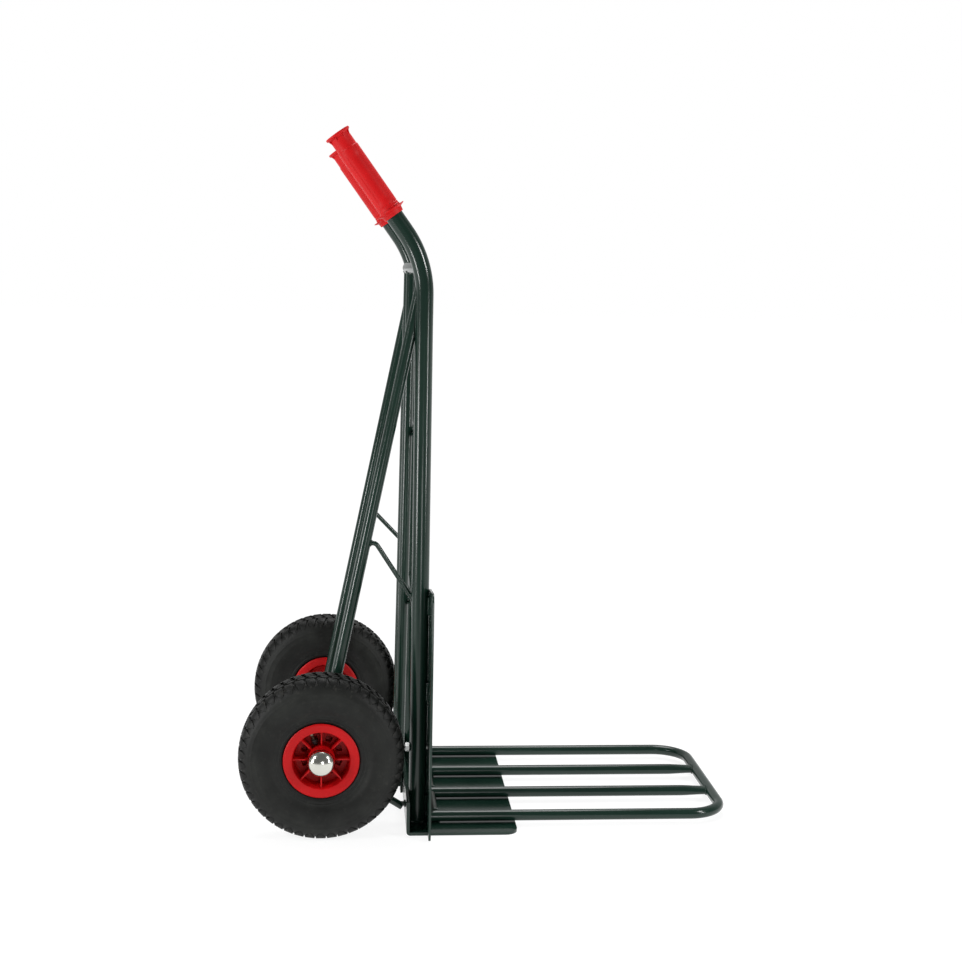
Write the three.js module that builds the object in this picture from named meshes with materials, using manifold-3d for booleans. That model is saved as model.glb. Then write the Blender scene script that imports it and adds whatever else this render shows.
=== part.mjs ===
// A two-wheeled hand truck with a platform that folds down in front of its toe plate.
// Millimetres, +Z up. X runs across the truck, the platform points to -Y, the floor is Z = 0.
// Inside the truck group Y = 0 is the axle; the group is then moved so that its middle is at Y = 0.
// Right is the operator's right hand, standing behind the handles: it is the -X side.
import * as THREE from 'three';
import { mergeVertices } from 'three/addons/utils/BufferGeometryUtils.js';
import Module from 'manifold-3d';

const wasm = await Module();
wasm.setup();

// ---- driving dimensions ----
const gap = 0.3;                   // left between two pieces that touch
const wall = 1.5;                  // of every hollow tube
const sides = [['right', -1], ['left', 1]];

const wheelRadius = 130;
const wheelPlane = 210;            // from the middle of the truck to the middle of each tyre
const tyreHalfWidth = 40;
const hubHalf = 37.4;
const rimLip = 59.5;               // radius of the rim's lip
const rimHalf = 33;                // from the tyre's middle to the lip
const ribCount = 8;

const axleRadius = 10;
const axleHalf = 262;
const sleeveRadius = 13.5;
const sleeveHalf = 14;

const tubeRadius = 14;             // main tubes
const tubeX = 159;
const tubeY = -153.5;
const handleCorner = 902;          // height where the upright and handle lines meet
const handleTilt = THREE.MathUtils.degToRad(36);
const handleBend = 165;            // radius of the bend's middle line
const gripStart = 82;              // along the handle from its corner
const gripLength = 151;

const plateThick = 5;              // toe plate
const plateHalf = 220;
const plateFront = -312;
const flangeTop = 54;
const flangeRear = tubeY + tubeRadius + gap + plateThick;

const guardThick = 3.5;
const guardOuter = 250;
const guardTop = 395;               // at the outer corner; the top edge falls towards the tube
const guardTopInner = 383;
const guardRear = tubeY - tubeRadius - gap;
const boltZ = 126;
const boltRadius = 4;

const barRadius = 8.8;             // platform tubes
const platformHalf = 172.3;        // middle of the outer platform tubes
const innerX = 57.4;               // middle of the inner platform tubes and uprights
const platformFront = -666.5;
const platformBend = 58;
const pivotY = -182;
const pivotZ = 15.5;               // the tubes lie a little clear of the toe plate
const pivotRadius = 5;
const lugThick = 4;
const lugReach = 8.8;              // from the pivot to the lug's rounded edge
const lugGap = 0.6;                // between a lug and the tube beside it
const rodHalf = 176;               // the hinge rod ends inside the outer platform tubes

const braceRadius = 9;
const braceX = 156;
const braceFootY = 1.2;
const braceTopY = -149.5;
const braceTopZ = 871.7;
const strutRadius = 3.75;
const strutLevel = { right: 458, left: 462 };  // where each strut leaves its brace
const strutFoot = { right: 361, left: 396 };   // where it meets its main tube
const strutCornerY = -82.3;
const strutBend = 9;
const stayRadius = 6;
const stayFootY = -129;
const stayFootZ = 26.4;
const stayHeadY = 10;
const stayHeadZ = 112.7;
const studRadius = 3.8;
const studZ = 31;

const uprightRadius = 8;
const uprightFootZ = 17;
const uprightFootY = flangeRear + gap + uprightRadius;
const uprightTopY = -136.4;
const tongueThick = 4;             // the upright's front wall reaches lower, for its weld to the flange
const tongueLength = 12;
const topBarZ = 890;
const topBarRadius = 10;
const topBarMiddleY = -134.6;
const topBarEndY = -148.2;
const uprightTopZ = topBarZ - topBarRadius - gap;
const lowerBarRadius = 8;
const lowerBars = [['middle_crossbar', 625], ['lower_crossbar', 345]];

const boltHead = 4;
const boltReach = 24;              // behind the main tube's middle
const nutThick = 6.5;
const acrossFlats = 13;

const gripBody = 17.4;
const gripWaist = 16.6;            // the thinner part near its end
const gripLip = 24.3;
const gripEndLip = 20.7;

const valvePlane = 12;
const valveRadius = 4;
const valveAngle = 67.5 * Math.PI / 180;
const airRing = 86.5;              // the air tube's ring and its own radius
const airRadius = 29.3;
const bearingLength = 15;
const bearingRadius = 15.5;
const washerThick = 2;
const washerRadius = 16;
const capRadius = 21.5;
const capTip = 268;

// ---- geometry helpers ----
const rightAngle = Math.PI / 2;
const at = (x, y, z) => new THREE.Vector3(x, y, z);

function solidOf(geometry) {
  const bare = geometry.clone();
  bare.deleteAttribute('normal');
  bare.deleteAttribute('uv');
  const merged = mergeVertices(bare, 1e-4);
  return new wasm.Manifold(new wasm.Mesh({
    numProp: 3,
    vertProperties: new Float32Array(merged.attributes.position.array),
    triVerts: new Uint32Array(merged.index.array),
  }));
}

function geometryOf(solid) {
  const { vertProperties, triVerts } = solid.getMesh();
  const geometry = new THREE.BufferGeometry();
  geometry.setAttribute('position', new THREE.BufferAttribute(new Float32Array(vertProperties), 3));
  geometry.setIndex(new THREE.BufferAttribute(new Uint32Array(triVerts), 1));
  return geometry;
}

function cut(geometry, ...tools) {
  return geometryOf(tools.reduce((solid, tool) => solid.subtract(solidOf(tool)), solidOf(geometry)));
}

function join(...geometries) {
  const [first, ...others] = geometries.map(solidOf);
  return geometryOf(others.reduce((solid, other) => solid.add(other), first));
}

// A path that keeps exactly the stations it is given, so that straight runs cost one step.
class StationPath extends THREE.Curve {
  constructor(stations) {
    super();
    this.stations = stations;
  }

  getSpacedPoints() {
    return this.stations.map((station) => station.point);
  }

  getPointAt(u, target = new THREE.Vector3()) {
    return target.copy(this.stations[Math.round(u * (this.stations.length - 1))].point);
  }

  getTangentAt(u, target = new THREE.Vector3()) {
    return target.copy(this.stations[Math.round(u * (this.stations.length - 1))].tangent);
  }
}

// Straight runs between corners, each corner rounded to the bend radius.
function bentPath(corners, bendRadius = 0, steps = 5) {
  const way = (a, b) => b.clone().sub(a).normalize();
  const stations = [{ point: corners[0], tangent: way(corners[0], corners[1]) }];
  for (let i = 1; i < corners.length - 1; i++) {
    const into = way(corners[i - 1], corners[i]);
    const out = way(corners[i], corners[i + 1]);
    const turn = into.angleTo(out);
    const start = corners[i].clone().addScaledVector(into, -bendRadius * Math.tan(turn / 2));
    const inward = out.clone().addScaledVector(into, -into.dot(out)).normalize();
    for (let k = 0; k <= steps; k++) {
      const angle = turn * k / steps;
      stations.push({
        point: start.clone().addScaledVector(into, bendRadius * Math.sin(angle))
          .addScaledVector(inward, bendRadius * (1 - Math.cos(angle))),
        tangent: into.clone().multiplyScalar(Math.cos(angle)).addScaledVector(inward, Math.sin(angle)),
      });
    }
  }
  const last = corners.at(-1);
  stations.push({ point: last, tangent: way(corners.at(-2), last) });
  return new StationPath(stations);
}

// A shallow arc in a level plane, from one end to the other, that bows towards +Y.
function bowedPath(halfSpan, endY, middleY, z, steps = 6) {
  const rise = middleY - endY;
  const radius = (halfSpan ** 2 + rise ** 2) / (2 * rise);
  const halfAngle = Math.asin(halfSpan / radius);
  const stations = [];
  for (let k = 0; k <= steps; k++) {
    const angle = halfAngle * (2 * k / steps - 1);
    stations.push({
      point: at(radius * Math.sin(angle), middleY - radius * (1 - Math.cos(angle)), z),
      tangent: at(Math.cos(angle), -Math.sin(angle), 0),
    });
  }
  return new StationPath(stations);
}

function roundShape(radius, count, holeRadius = 0) {
  const ring = (r) => Array.from({ length: count }, (_, k) => {
    const angle = (k + 0.5) * 2 * Math.PI / count;
    return new THREE.Vector2(r * Math.cos(angle), r * Math.sin(angle));
  });
  const shape = new THREE.Shape(ring(radius));
  if (holeRadius > 0) shape.holes.push(new THREE.Path(ring(holeRadius)));
  return shape;
}

function rodAlong(path, radius, count = 12, holeRadius = 0) {
  return new THREE.ExtrudeGeometry(roundShape(radius, count, holeRadius), {
    extrudePath: path, steps: path.stations.length - 1, bevelEnabled: false,
  });
}

const straight = (from, to) => bentPath([from, to]);
const tubeAlong = (path, radius, count = 12) => rodAlong(path, radius, count, radius - wall);

// A flat plate from an outline: in the X-Y plane, or stood up so the outline is in X-Z or Y-Z.
function plate(shape, thick, curveSegments = 5) {
  return new THREE.ExtrudeGeometry(shape, { depth: thick, bevelEnabled: false, curveSegments });
}

function revolve(profile, segments) {
  const points = profile.map(([axial, radius]) => new THREE.Vector2(radius, axial));
  if (profile[0][1] > 0) points.push(points[0].clone());
  return outward(new THREE.LatheGeometry(points, segments));
}

function outward(geometry) {
  const { array } = geometry.attributes.position;
  const index = geometry.index.array;
  const corner = (k) => at(array[3 * k], array[3 * k + 1], array[3 * k + 2]);
  let volume = 0;
  for (let i = 0; i < index.length; i += 3) {
    volume += corner(index[i]).dot(corner(index[i + 1]).cross(corner(index[i + 2])));
  }
  if (volume < 0) {
    for (let i = 0; i < index.length; i += 3) {
      [index[i], index[i + 1]] = [index[i + 1], index[i]];
    }
  }
  return geometry;
}

// Turns a revolved shape so that its axis lies along +X.
const alongX = (geometry) => geometry.rotateZ(-rightAngle);

// ---- finishes ----
function finish(color, roughness, metalness) {
  return new THREE.MeshStandardMaterial({ color, roughness, metalness });
}

const greenEnamel = finish(0x1f2b27, 0.3, 0.2);
const redPlastic = finish(0xc92529, 0.45, 0);
const blackRubber = finish(0x262626, 0.85, 0);
const chrome = finish(0xd8d8d8, 0.08, 1);
const zinc = finish(0xb9bcbc, 0.35, 1);
const bareSteel = finish(0x8d9090, 0.4, 1);

function piece(parent, name, geometry, material) {
  const mesh = new THREE.Mesh(geometry, material);
  mesh.name = name;
  parent.add(mesh);
  return mesh;
}

// ---- the frame ----
function mainTubePath(x) {
  const corner = at(x, tubeY, handleCorner);
  const along = at(0, Math.sin(handleTilt), Math.cos(handleTilt));
  const end = corner.clone().addScaledVector(along, gripStart + gripLength - 6);
  return bentPath([at(x, tubeY, plateThick + gap), corner, end], handleBend, 6);
}

function boltHole(x, radius) {
  return rodAlong(straight(at(x, tubeY - 40, boltZ), at(x, tubeY + 40, boltZ)), radius, 12);
}

function mainTube(x) {
  return cut(tubeAlong(mainTubePath(x), tubeRadius, 16), boltHole(x, boltRadius + gap));
}

// A solid a little larger than a main tube, for cutting whatever is welded to it.
function mainTubeClearance(x) {
  return rodAlong(mainTubePath(x), tubeRadius + gap, 16);
}

function crossbar(z, radius, endY, middleY) {
  const bar = tubeAlong(bowedPath(tubeX, endY, middleY, z), radius, 12);
  return cut(bar, mainTubeClearance(-tubeX), mainTubeClearance(tubeX));
}

function innerUpright(x) {
  const line = straight(at(x, uprightFootY, uprightFootZ), at(x, uprightTopY, uprightTopZ));
  const tube = tubeAlong(line, uprightRadius, 12);
  const cutAway = new THREE.BoxGeometry(3 * uprightRadius, 2 * uprightRadius, 2 * tongueLength);
  cutAway.translate(x, uprightFootY + tongueThick, uprightFootZ);
  return cut(tube, cutAway);
}

const braceLine = (x) => straight(at(x, braceFootY, wheelRadius), at(x, braceTopY, braceTopZ));
const axleLine = (x, half) => straight(at(x - half, 0, wheelRadius), at(x + half, 0, wheelRadius));
const stayLine = (x) => straight(at(x, stayFootY, stayFootZ), at(x, stayHeadY, stayHeadZ));

function rearBrace(x) {
  const sleeve = rodAlong(axleLine(x, 2 * sleeveHalf), sleeveRadius + gap, 20);
  const brace = tubeAlong(braceLine(x), braceRadius, 14);
  return cut(brace, mainTubeClearance(Math.sign(x) * tubeX), sleeve);
}

// A strut starts level inside its brace's outline and turns down to a point inside the main tube's.
function braceStrut(x, level, footZ) {
  const path = bentPath([at(x, -66, level), at(x, strutCornerY, level), at(x, -146, footZ)], strutBend, 3);
  const brace = rodAlong(braceLine(x), braceRadius + gap, 14);
  return cut(rodAlong(path, strutRadius, 10), brace, mainTubeClearance(Math.sign(x) * tubeX));
}

function stayStud(x) {
  const stay = rodAlong(stayLine(x), stayRadius + gap, 12);
  const line = straight(at(x, flangeRear + gap, studZ), at(x, stayFootY + 2, studZ));
  return cut(rodAlong(line, studRadius, 10), stay);
}

function toePlate() {
  const bend = 5;
  const profile = new THREE.Shape();               // drawn as (Y, Z)
  profile.moveTo(plateFront, 0);
  profile.lineTo(flangeRear - bend, 0);
  profile.absarc(flangeRear - bend, bend, bend, -rightAngle, 0, false);
  profile.lineTo(flangeRear, flangeTop);
  profile.lineTo(flangeRear - plateThick, flangeTop);
  profile.lineTo(flangeRear - plateThick, plateThick);
  profile.lineTo(plateFront, plateThick);
  const folded = plate(profile, 2 * plateHalf);
  folded.rotateX(rightAngle).rotateZ(rightAngle).translate(-plateHalf, 0, 0);

  const corner = 20;
  const outline = new THREE.Shape();               // drawn as (X, Y)
  outline.moveTo(-plateHalf, flangeRear + 1);
  outline.lineTo(-plateHalf, plateFront + corner);
  outline.absarc(-plateHalf + corner, plateFront + corner, corner, Math.PI, 3 * rightAngle, false);
  outline.lineTo(plateHalf - corner, plateFront);
  outline.absarc(plateHalf - corner, plateFront + corner, corner, 3 * rightAngle, 4 * rightAngle, false);
  outline.lineTo(plateHalf, flangeRear + 1);
  const limit = plate(outline, flangeTop + 2).translate(0, 0, -1);
  return geometryOf(solidOf(folded).intersect(solidOf(limit)));
}

function wheelGuard(side) {
  const inner = tubeX - tubeRadius + 2;
  const corner = 12;
  const footCorner = 7;
  const outline = new THREE.Shape();               // drawn as (X, Z)
  outline.moveTo(inner, plateThick + gap);
  outline.lineTo(plateHalf + gap, plateThick + gap);
  outline.lineTo(plateHalf + gap, 0);
  outline.lineTo(guardOuter - footCorner, 0);
  outline.absarc(guardOuter - footCorner, footCorner, footCorner, -rightAngle, 0, false);
  outline.lineTo(guardOuter, guardTop - corner);
  outline.absarc(guardOuter - corner, guardTop - corner, corner, 0, rightAngle, false);
  outline.lineTo(inner, guardTopInner);
  const sheet = plate(outline, guardThick).rotateX(rightAngle).translate(0, guardRear, 0);
  const holed = cut(sheet, boltHole(tubeX, boltRadius + gap));
  return side > 0 ? holed : mirrorX(holed);
}

function mirrorX(geometry) {
  return outward(geometry.scale(-1, 1, 1));
}

// A hexagonal bar along Y, from its rear face forwards.
function hexagon(x, rear, thick) {
  const bar = new THREE.ExtrudeGeometry(roundShape(acrossFlats / Math.sqrt(3), 6), {
    depth: thick, bevelEnabled: false,
  });
  return bar.rotateX(rightAngle).translate(x, rear, boltZ);
}

// Bolts lie along Y, head to the front.
function guardBolt(x) {
  const headBack = guardRear - guardThick - gap;
  const line = straight(at(x, headBack - 1, boltZ), at(x, tubeY + boltReach, boltZ));
  return join(hexagon(x, headBack, boltHead), rodAlong(line, boltRadius, 12));
}

function guardNut(x) {
  const nut = hexagon(x, tubeY + tubeRadius + gap + nutThick, nutThick);
  return cut(nut, boltHole(x, boltRadius + gap));
}

// ---- the hand grips, revolved about the handle's line ----
function grip() {
  const bore = tubeRadius + gap;
  const waist = gripLength - 25;
  const end = gripLength - 5;
  return revolve([
    [end, 0], [end, bore], [0, bore], [0, gripWaist], [5, gripBody],
    [9, gripLip], [11, gripLip], [11, gripBody + 0.6], [waist - 2, gripBody], [waist, gripWaist],
    [end, gripWaist], [gripLength - 3, gripEndLip], [gripLength, gripEndLip], [gripLength, 0],
  ], 20);
}

// ---- the wheels, each revolved about +X with its outer face towards +X ----
function rim() {
  const bead = 52;
  const well = 47.5;
  const half = [                                   // from the middle outwards, then back in
    [17, well], [20, 50.5], [28.5, bead], [29.2, rimLip], [rimHalf, rimLip], [rimHalf - 1.6, 45.5],
    [2.2, 43.5], [2.2, 21], [hubHalf, 20.5], [hubHalf, 15.9],
  ];
  const profile = [...half, ...half.map(([axial, radius]) => [-axial, radius]).reverse()];
  let solid = solidOf(alongX(revolve(profile, 28)));
  for (let k = 0; k < ribCount; k++) {
    const rib = new THREE.BoxGeometry(48, 24.5, 2.4).translate(0, 20 + 24.5 / 2, 0);
    solid = solid.add(solidOf(rib.rotateX(k * 2 * Math.PI / ribCount)));
  }
  for (let k = 0; k < ribCount; k++) {
    const window = new THREE.BoxGeometry(6, 9, 12).translate(0, 28.5, 0);
    solid = solid.subtract(solidOf(window.rotateX((k + 0.5) * 2 * Math.PI / ribCount)));
  }
  const valveHole = rodAlong(straight(at(valvePlane, 40, 0), at(valvePlane, 52, 0)), valveRadius + gap, 10);
  solid = solid.subtract(solidOf(valveHole.rotateX(valveAngle)));
  return geometryOf(solid);
}

function tyre() {
  const outer = [
    [0, wheelRadius], [18, wheelRadius - 2], [32, 119], [39, 101],
    [tyreHalfWidth, 88], [35, 67], [28.4, 60], [28.2, 52.8],
  ];
  const inner = [[22, 52.8], [22.5, 60], [33, 78], [33, 102], [20, 117]];
  const half = [...outer.slice(1), ...inner];
  const mirrored = half.map(([axial, radius]) => [-axial, radius]).reverse();
  return alongX(revolve([outer[0], ...half, [0, 121], ...mirrored], 32));
}

function innerTube() {
  const outer = new THREE.TorusGeometry(airRing, airRadius, 8, 22).rotateY(rightAngle);
  const inner = new THREE.TorusGeometry(airRing, airRadius - wall, 8, 22).rotateY(rightAngle);
  const hole = rodAlong(straight(at(valvePlane, 50, 0), at(valvePlane, 64, 0)), valveRadius + gap, 10);
  return cut(outer, inner, hole.rotateX(valveAngle));
}

function wheelBearing(axial) {
  const half = bearingLength / 2;
  const line = straight(at(axial - half, 0, 0), at(axial + half, 0, 0));
  return rodAlong(line, bearingRadius, 20, axleRadius + gap);
}

function valveStem() {
  const line = straight(at(valvePlane, 32, 0), at(valvePlane, 63, 0));
  return rodAlong(line, valveRadius, 10).rotateX(valveAngle);
}

function valveCap() {
  const cap = rodAlong(straight(at(valvePlane, 23, 0), at(valvePlane, 32 - gap, 0)), valveRadius + 0.8, 10);
  return cap.rotateX(valveAngle);
}

// The push-on cap that keeps the wheel on its axle, revolved about +X.
function domeCap() {
  const base = wheelPlane + hubHalf + washerThick + 2 * gap;
  const skirt = base + 3;
  const dome = [0, 25, 50, 73].map((degrees) => {
    const angle = THREE.MathUtils.degToRad(degrees);
    return [skirt + (capTip - skirt) * Math.sin(angle), capRadius * Math.cos(angle)];
  });
  const bore = axleRadius + gap;
  return alongX(revolve([
    [axleHalf + gap, 0], [axleHalf + gap, bore], [base, bore], [base, capRadius], ...dome, [capTip, 0],
  ], 20));
}

function washer(from) {
  return rodAlong(straight(at(from, 0, 0), at(from + washerThick, 0, 0)), washerRadius, 16, axleRadius + gap);
}

// ---- the platform, in the place it has when folded down ----
// The tubes' rear ends are rounded about the hinge rod, so they clear the toe plate as they swing.
function hingedEnd(geometry, ...xs) {
  const tools = [];
  for (const x of xs) {
    const beyond = new THREE.BoxGeometry(3 * barRadius, 2 * barRadius, 3 * barRadius);
    beyond.translate(x, pivotY + barRadius, pivotZ);
    const keep = alongX(new THREE.CylinderGeometry(barRadius, barRadius, 4 * barRadius, 24));
    keep.translate(x, pivotY, pivotZ);
    const inward = -Math.sign(x) * 2 * barRadius;
    const half = Math.abs(x) === platformHalf ? [x, x + inward] : [x - inward, x + inward];
    tools.push(cut(beyond, keep), pivotHole(...half));
  }
  return cut(geometry, ...tools);
}

function pivotHole(from, to) {
  return rodAlong(straight(at(from, pivotY, pivotZ), at(to, pivotY, pivotZ)), pivotRadius + gap, 16);
}

const frontBarY = platformFront + barRadius;
const tubeEndY = pivotY + barRadius;

function platformFrame() {
  const path = bentPath([
    at(-platformHalf, tubeEndY, pivotZ), at(-platformHalf, frontBarY, pivotZ),
    at(platformHalf, frontBarY, pivotZ), at(platformHalf, tubeEndY, pivotZ),
  ], platformBend, 6);
  return hingedEnd(tubeAlong(path, barRadius, 14), -platformHalf, platformHalf);
}

function platformTube(x) {
  const barLine = straight(at(-innerX * 2, frontBarY, pivotZ), at(innerX * 2, frontBarY, pivotZ));
  const bar = rodAlong(barLine, barRadius + gap, 14);
  const tube = tubeAlong(straight(at(x, tubeEndY, pivotZ), at(x, frontBarY, pivotZ)), barRadius, 14);
  return hingedEnd(cut(tube, bar), x);
}

function hingeLug(x) {
  const outline = new THREE.Shape();               // drawn as (Y, Z)
  outline.moveTo(pivotY + lugReach, plateThick + gap);
  outline.lineTo(pivotY + lugReach, pivotZ);
  outline.absarc(pivotY, pivotZ, lugReach, 0, Math.PI, false);
  outline.lineTo(pivotY - lugReach, plateThick + gap);
  const lug = plate(outline, lugThick).rotateX(rightAngle).rotateZ(rightAngle);
  return cut(lug.translate(x - lugThick / 2, 0, 0), pivotHole(x - lugThick, x + lugThick));
}

function hingeRod() {
  return rodAlong(straight(at(-rodHalf, pivotY, pivotZ), at(rodHalf, pivotY, pivotZ)), pivotRadius, 16);
}

// ---- assembly ----
const truck = new THREE.Group();
truck.position.y = -(platformFront + wheelRadius) / 2;

piece(truck, 'toe_plate', toePlate(), greenEnamel);
piece(truck, 'top_crossbar', crossbar(topBarZ, topBarRadius, topBarEndY, topBarMiddleY), greenEnamel);
for (const [name, z] of lowerBars) {
  // The lower bars bow back until they touch the uprights; the bow is a little less at the uprights.
  const share = (z - uprightFootZ) / (uprightTopZ - uprightFootZ);
  const uprightY = THREE.MathUtils.lerp(uprightFootY, uprightTopY, share);
  const middleY = uprightY - uprightRadius - lowerBarRadius + 0.5;
  piece(truck, name, crossbar(z, lowerBarRadius, tubeY, middleY), greenEnamel);
}

for (const [hand, side] of sides) {
  const tube = side * tubeX;
  const brace = side * braceX;
  piece(truck, `main_tube_${hand}`, mainTube(tube), greenEnamel);
  piece(truck, `inner_upright_${hand}`, innerUpright(side * innerX), greenEnamel);
  piece(truck, `rear_brace_${hand}`, rearBrace(brace), greenEnamel);
  piece(truck, `brace_strut_${hand}`, braceStrut(brace, strutLevel[hand], strutFoot[hand]), greenEnamel);
  piece(truck, `lower_stay_${hand}`, rodAlong(stayLine(brace), stayRadius, 12), greenEnamel);
  piece(truck, `stay_stud_${hand}`, stayStud(brace), greenEnamel);
  const sleeve = rodAlong(axleLine(brace, sleeveHalf), sleeveRadius, 20, axleRadius + gap);
  piece(truck, `axle_sleeve_${hand}`, sleeve, greenEnamel);
  piece(truck, `wheel_guard_${hand}`, wheelGuard(side), greenEnamel);
  piece(truck, `guard_bolt_${hand}`, guardBolt(tube), zinc);
  piece(truck, `guard_nut_${hand}`, guardNut(tube), zinc);

  const handGrip = piece(truck, `grip_${hand}`, grip(), redPlastic);
  const along = at(0, Math.sin(handleTilt), Math.cos(handleTilt));
  handGrip.quaternion.setFromUnitVectors(at(0, 1, 0), along);
  handGrip.position.set(tube, tubeY, handleCorner).addScaledVector(along, gripStart);

  for (const [place, x] of [['outer', platformHalf], ['inner', innerX]]) {
    const lug = hingeLug(side * (x - barRadius - lugGap - lugThick / 2));
    piece(truck, `hinge_lug_${place}_${hand}`, lug, greenEnamel);
  }

  const end = new THREE.Group();                   // this end of the axle, seen from its own side
  end.position.z = wheelRadius;
  end.rotation.z = side > 0 ? 0 : Math.PI;
  truck.add(end);
  const hubInner = wheelPlane - hubHalf;
  const hubOuter = wheelPlane + hubHalf;
  piece(end, `inner_washer_${hand}`, washer(hubInner - gap - washerThick), zinc);
  piece(end, `outer_washer_${hand}`, washer(hubOuter + gap), zinc);
  piece(end, `dome_cap_${hand}`, domeCap(), chrome);

  const wheel = new THREE.Group();
  wheel.position.x = wheelPlane;
  end.add(wheel);
  const valve = new THREE.Group();                 // both valves sit in the pocket behind the top rib
  wheel.add(valve);
  piece(wheel, `tyre_${hand}`, tyre(), blackRubber);
  const turn = side > 0 ? 0 : Math.PI - 2 * valveAngle;
  for (const [name, geometry, material] of [
    ['inner_tube', innerTube(), blackRubber], ['rim', rim(), redPlastic],
    ['valve_stem', valveStem(), bareSteel], ['valve_cap', valveCap(), blackRubber],
  ]) {
    piece(valve, `${name}_${hand}`, geometry.rotateX(turn), material);
  }
  for (const [place, outwards] of [['outer', 1], ['inner', -1]]) {
    const bearing = wheelBearing(outwards * (hubHalf - bearingLength / 2));
    piece(wheel, `${place}_bearing_${hand}`, bearing, bareSteel);
  }
}

piece(truck, 'axle', rodAlong(axleLine(0, axleHalf), axleRadius, 20), bareSteel);
piece(truck, 'hinge_rod', hingeRod(), zinc);
piece(truck, 'platform_frame', platformFrame(), greenEnamel);
for (const [hand, side] of sides) {
  piece(truck, `platform_tube_${hand}`, platformTube(side * innerX), greenEnamel);
}

export default truck;
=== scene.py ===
import math

import bmesh
import bpy
from mathutils import Matrix, Vector


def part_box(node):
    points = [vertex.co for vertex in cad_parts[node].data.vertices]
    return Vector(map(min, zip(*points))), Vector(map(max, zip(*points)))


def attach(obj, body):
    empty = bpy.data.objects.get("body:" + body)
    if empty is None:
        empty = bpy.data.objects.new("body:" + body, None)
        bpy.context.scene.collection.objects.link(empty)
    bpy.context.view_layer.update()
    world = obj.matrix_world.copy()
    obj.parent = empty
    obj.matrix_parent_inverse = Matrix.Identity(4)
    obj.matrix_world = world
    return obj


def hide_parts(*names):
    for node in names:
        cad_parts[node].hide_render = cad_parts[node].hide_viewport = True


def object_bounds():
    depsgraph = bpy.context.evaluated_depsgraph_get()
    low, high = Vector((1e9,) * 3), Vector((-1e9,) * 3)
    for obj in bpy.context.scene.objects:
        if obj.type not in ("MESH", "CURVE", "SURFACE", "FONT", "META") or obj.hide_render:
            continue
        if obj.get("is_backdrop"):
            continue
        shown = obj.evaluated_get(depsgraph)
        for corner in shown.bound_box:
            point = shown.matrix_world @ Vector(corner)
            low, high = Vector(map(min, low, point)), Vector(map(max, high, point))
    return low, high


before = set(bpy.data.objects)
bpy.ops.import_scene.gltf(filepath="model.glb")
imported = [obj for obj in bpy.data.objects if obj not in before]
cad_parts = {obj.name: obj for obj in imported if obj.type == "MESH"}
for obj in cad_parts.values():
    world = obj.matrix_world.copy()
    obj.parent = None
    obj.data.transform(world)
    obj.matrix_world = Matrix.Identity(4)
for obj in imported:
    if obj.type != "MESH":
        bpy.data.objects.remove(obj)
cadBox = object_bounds()
scene = bpy.context.scene

mm = 0.001
axleLow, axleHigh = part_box("axle")
axleY = (axleLow.y + axleHigh.y) / 2      # lengths below count Y from the axle
axleZ = (axleLow.z + axleHigh.z) / 2
axleHeight = 130
hands = (("right", -1), ("left", 1))
sideways, upwards = Vector((1, 0, 0)), Vector((0, 0, 1))


def at(x, y, z):
    return Vector((x * mm, y * mm + axleY, z * mm))


# Node trees: one method puts a node down, and sockets take part in Python sums

class Wire:
    def __init__(self, board, socket):
        self.board = board
        self.socket = socket

    def __add__(self, other):
        return self.board.sum("ADD", self, other)

    def __sub__(self, other):
        return self.board.sum("SUBTRACT", self, other)

    def __mul__(self, other):
        return self.board.sum("MULTIPLY", self, other)

    def __truediv__(self, other):
        return self.board.sum("DIVIDE", self, other)

    def __radd__(self, other):
        return self.board.sum("ADD", other, self)

    def __rsub__(self, other):
        return self.board.sum("SUBTRACT", other, self)

    def __rmul__(self, other):
        return self.board.sum("MULTIPLY", other, self)


class Board:
    def __init__(self, tree):
        self.tree = tree

    def put(self, kind, settings, sockets, out=0):
        node = self.tree.nodes.new(kind)
        for name, value in settings.items():
            if name == "stops":                 # a ramp's (place, grey) pairs
                ramp = node.color_ramp.elements
                while len(ramp) < len(value):
                    ramp.new(0.5)
                for stop, (place, grey) in zip(ramp, value):
                    stop.position = place
                    stop.color = greyOf(grey)
            else:
                setattr(node, name, value)
        for name, value in sockets.items():
            if isinstance(value, Wire):
                self.tree.links.new(value.socket, node.inputs[name])
            else:
                node.inputs[name].default_value = value
        return Wire(self, node.outputs[out]) if len(node.outputs) else None

    def sum(self, operation, first, second=0.0):
        return self.put("ShaderNodeMath", {"operation": operation}, {0: first, 1: second})

    def clamp(self, value):
        return self.put("ShaderNodeMath", {"operation": "ADD", "use_clamp": True}, {0: value, 1: 0.0})

    def mix(self, factor, first, second):       # two colours
        return self.put("ShaderNodeMix", {"data_type": "RGBA"}, {0: factor, 6: first, 7: second}, 2)

    def ramp(self, value, stops):
        return self.put("ShaderNodeValToRGB", {"stops": stops}, {"Fac": value})

    def noise(self, vector, scale, detail=3.0, roughness=0.55):
        sockets = {"Vector": vector, "Scale": scale, "Detail": detail, "Roughness": roughness}
        return self.put("ShaderNodeTexNoise", {}, sockets, "Fac")

    def given(self, name):
        return self.put("NodeGroupInput", {}, {}, name)


def colour(red, green, blue):                   # 0 to 255 as seen, to the linear scale that shaders use
    def linear(part):
        part /= 255
        return part / 12.92 if part <= 0.04045 else ((part + 0.055) / 1.055) ** 2.4
    return linear(red), linear(green), linear(blue), 1.0


def greyOf(value):
    return value, value, value, 1.0


# Finishes

def newFinish(name):
    finish = bpy.data.materials.new(name)
    finish.use_nodes = True
    finish.node_tree.nodes.clear()
    board = Board(finish.node_tree)
    return finish, board, board.put("ShaderNodeTexCoord", {}, {}, "Object")


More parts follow.
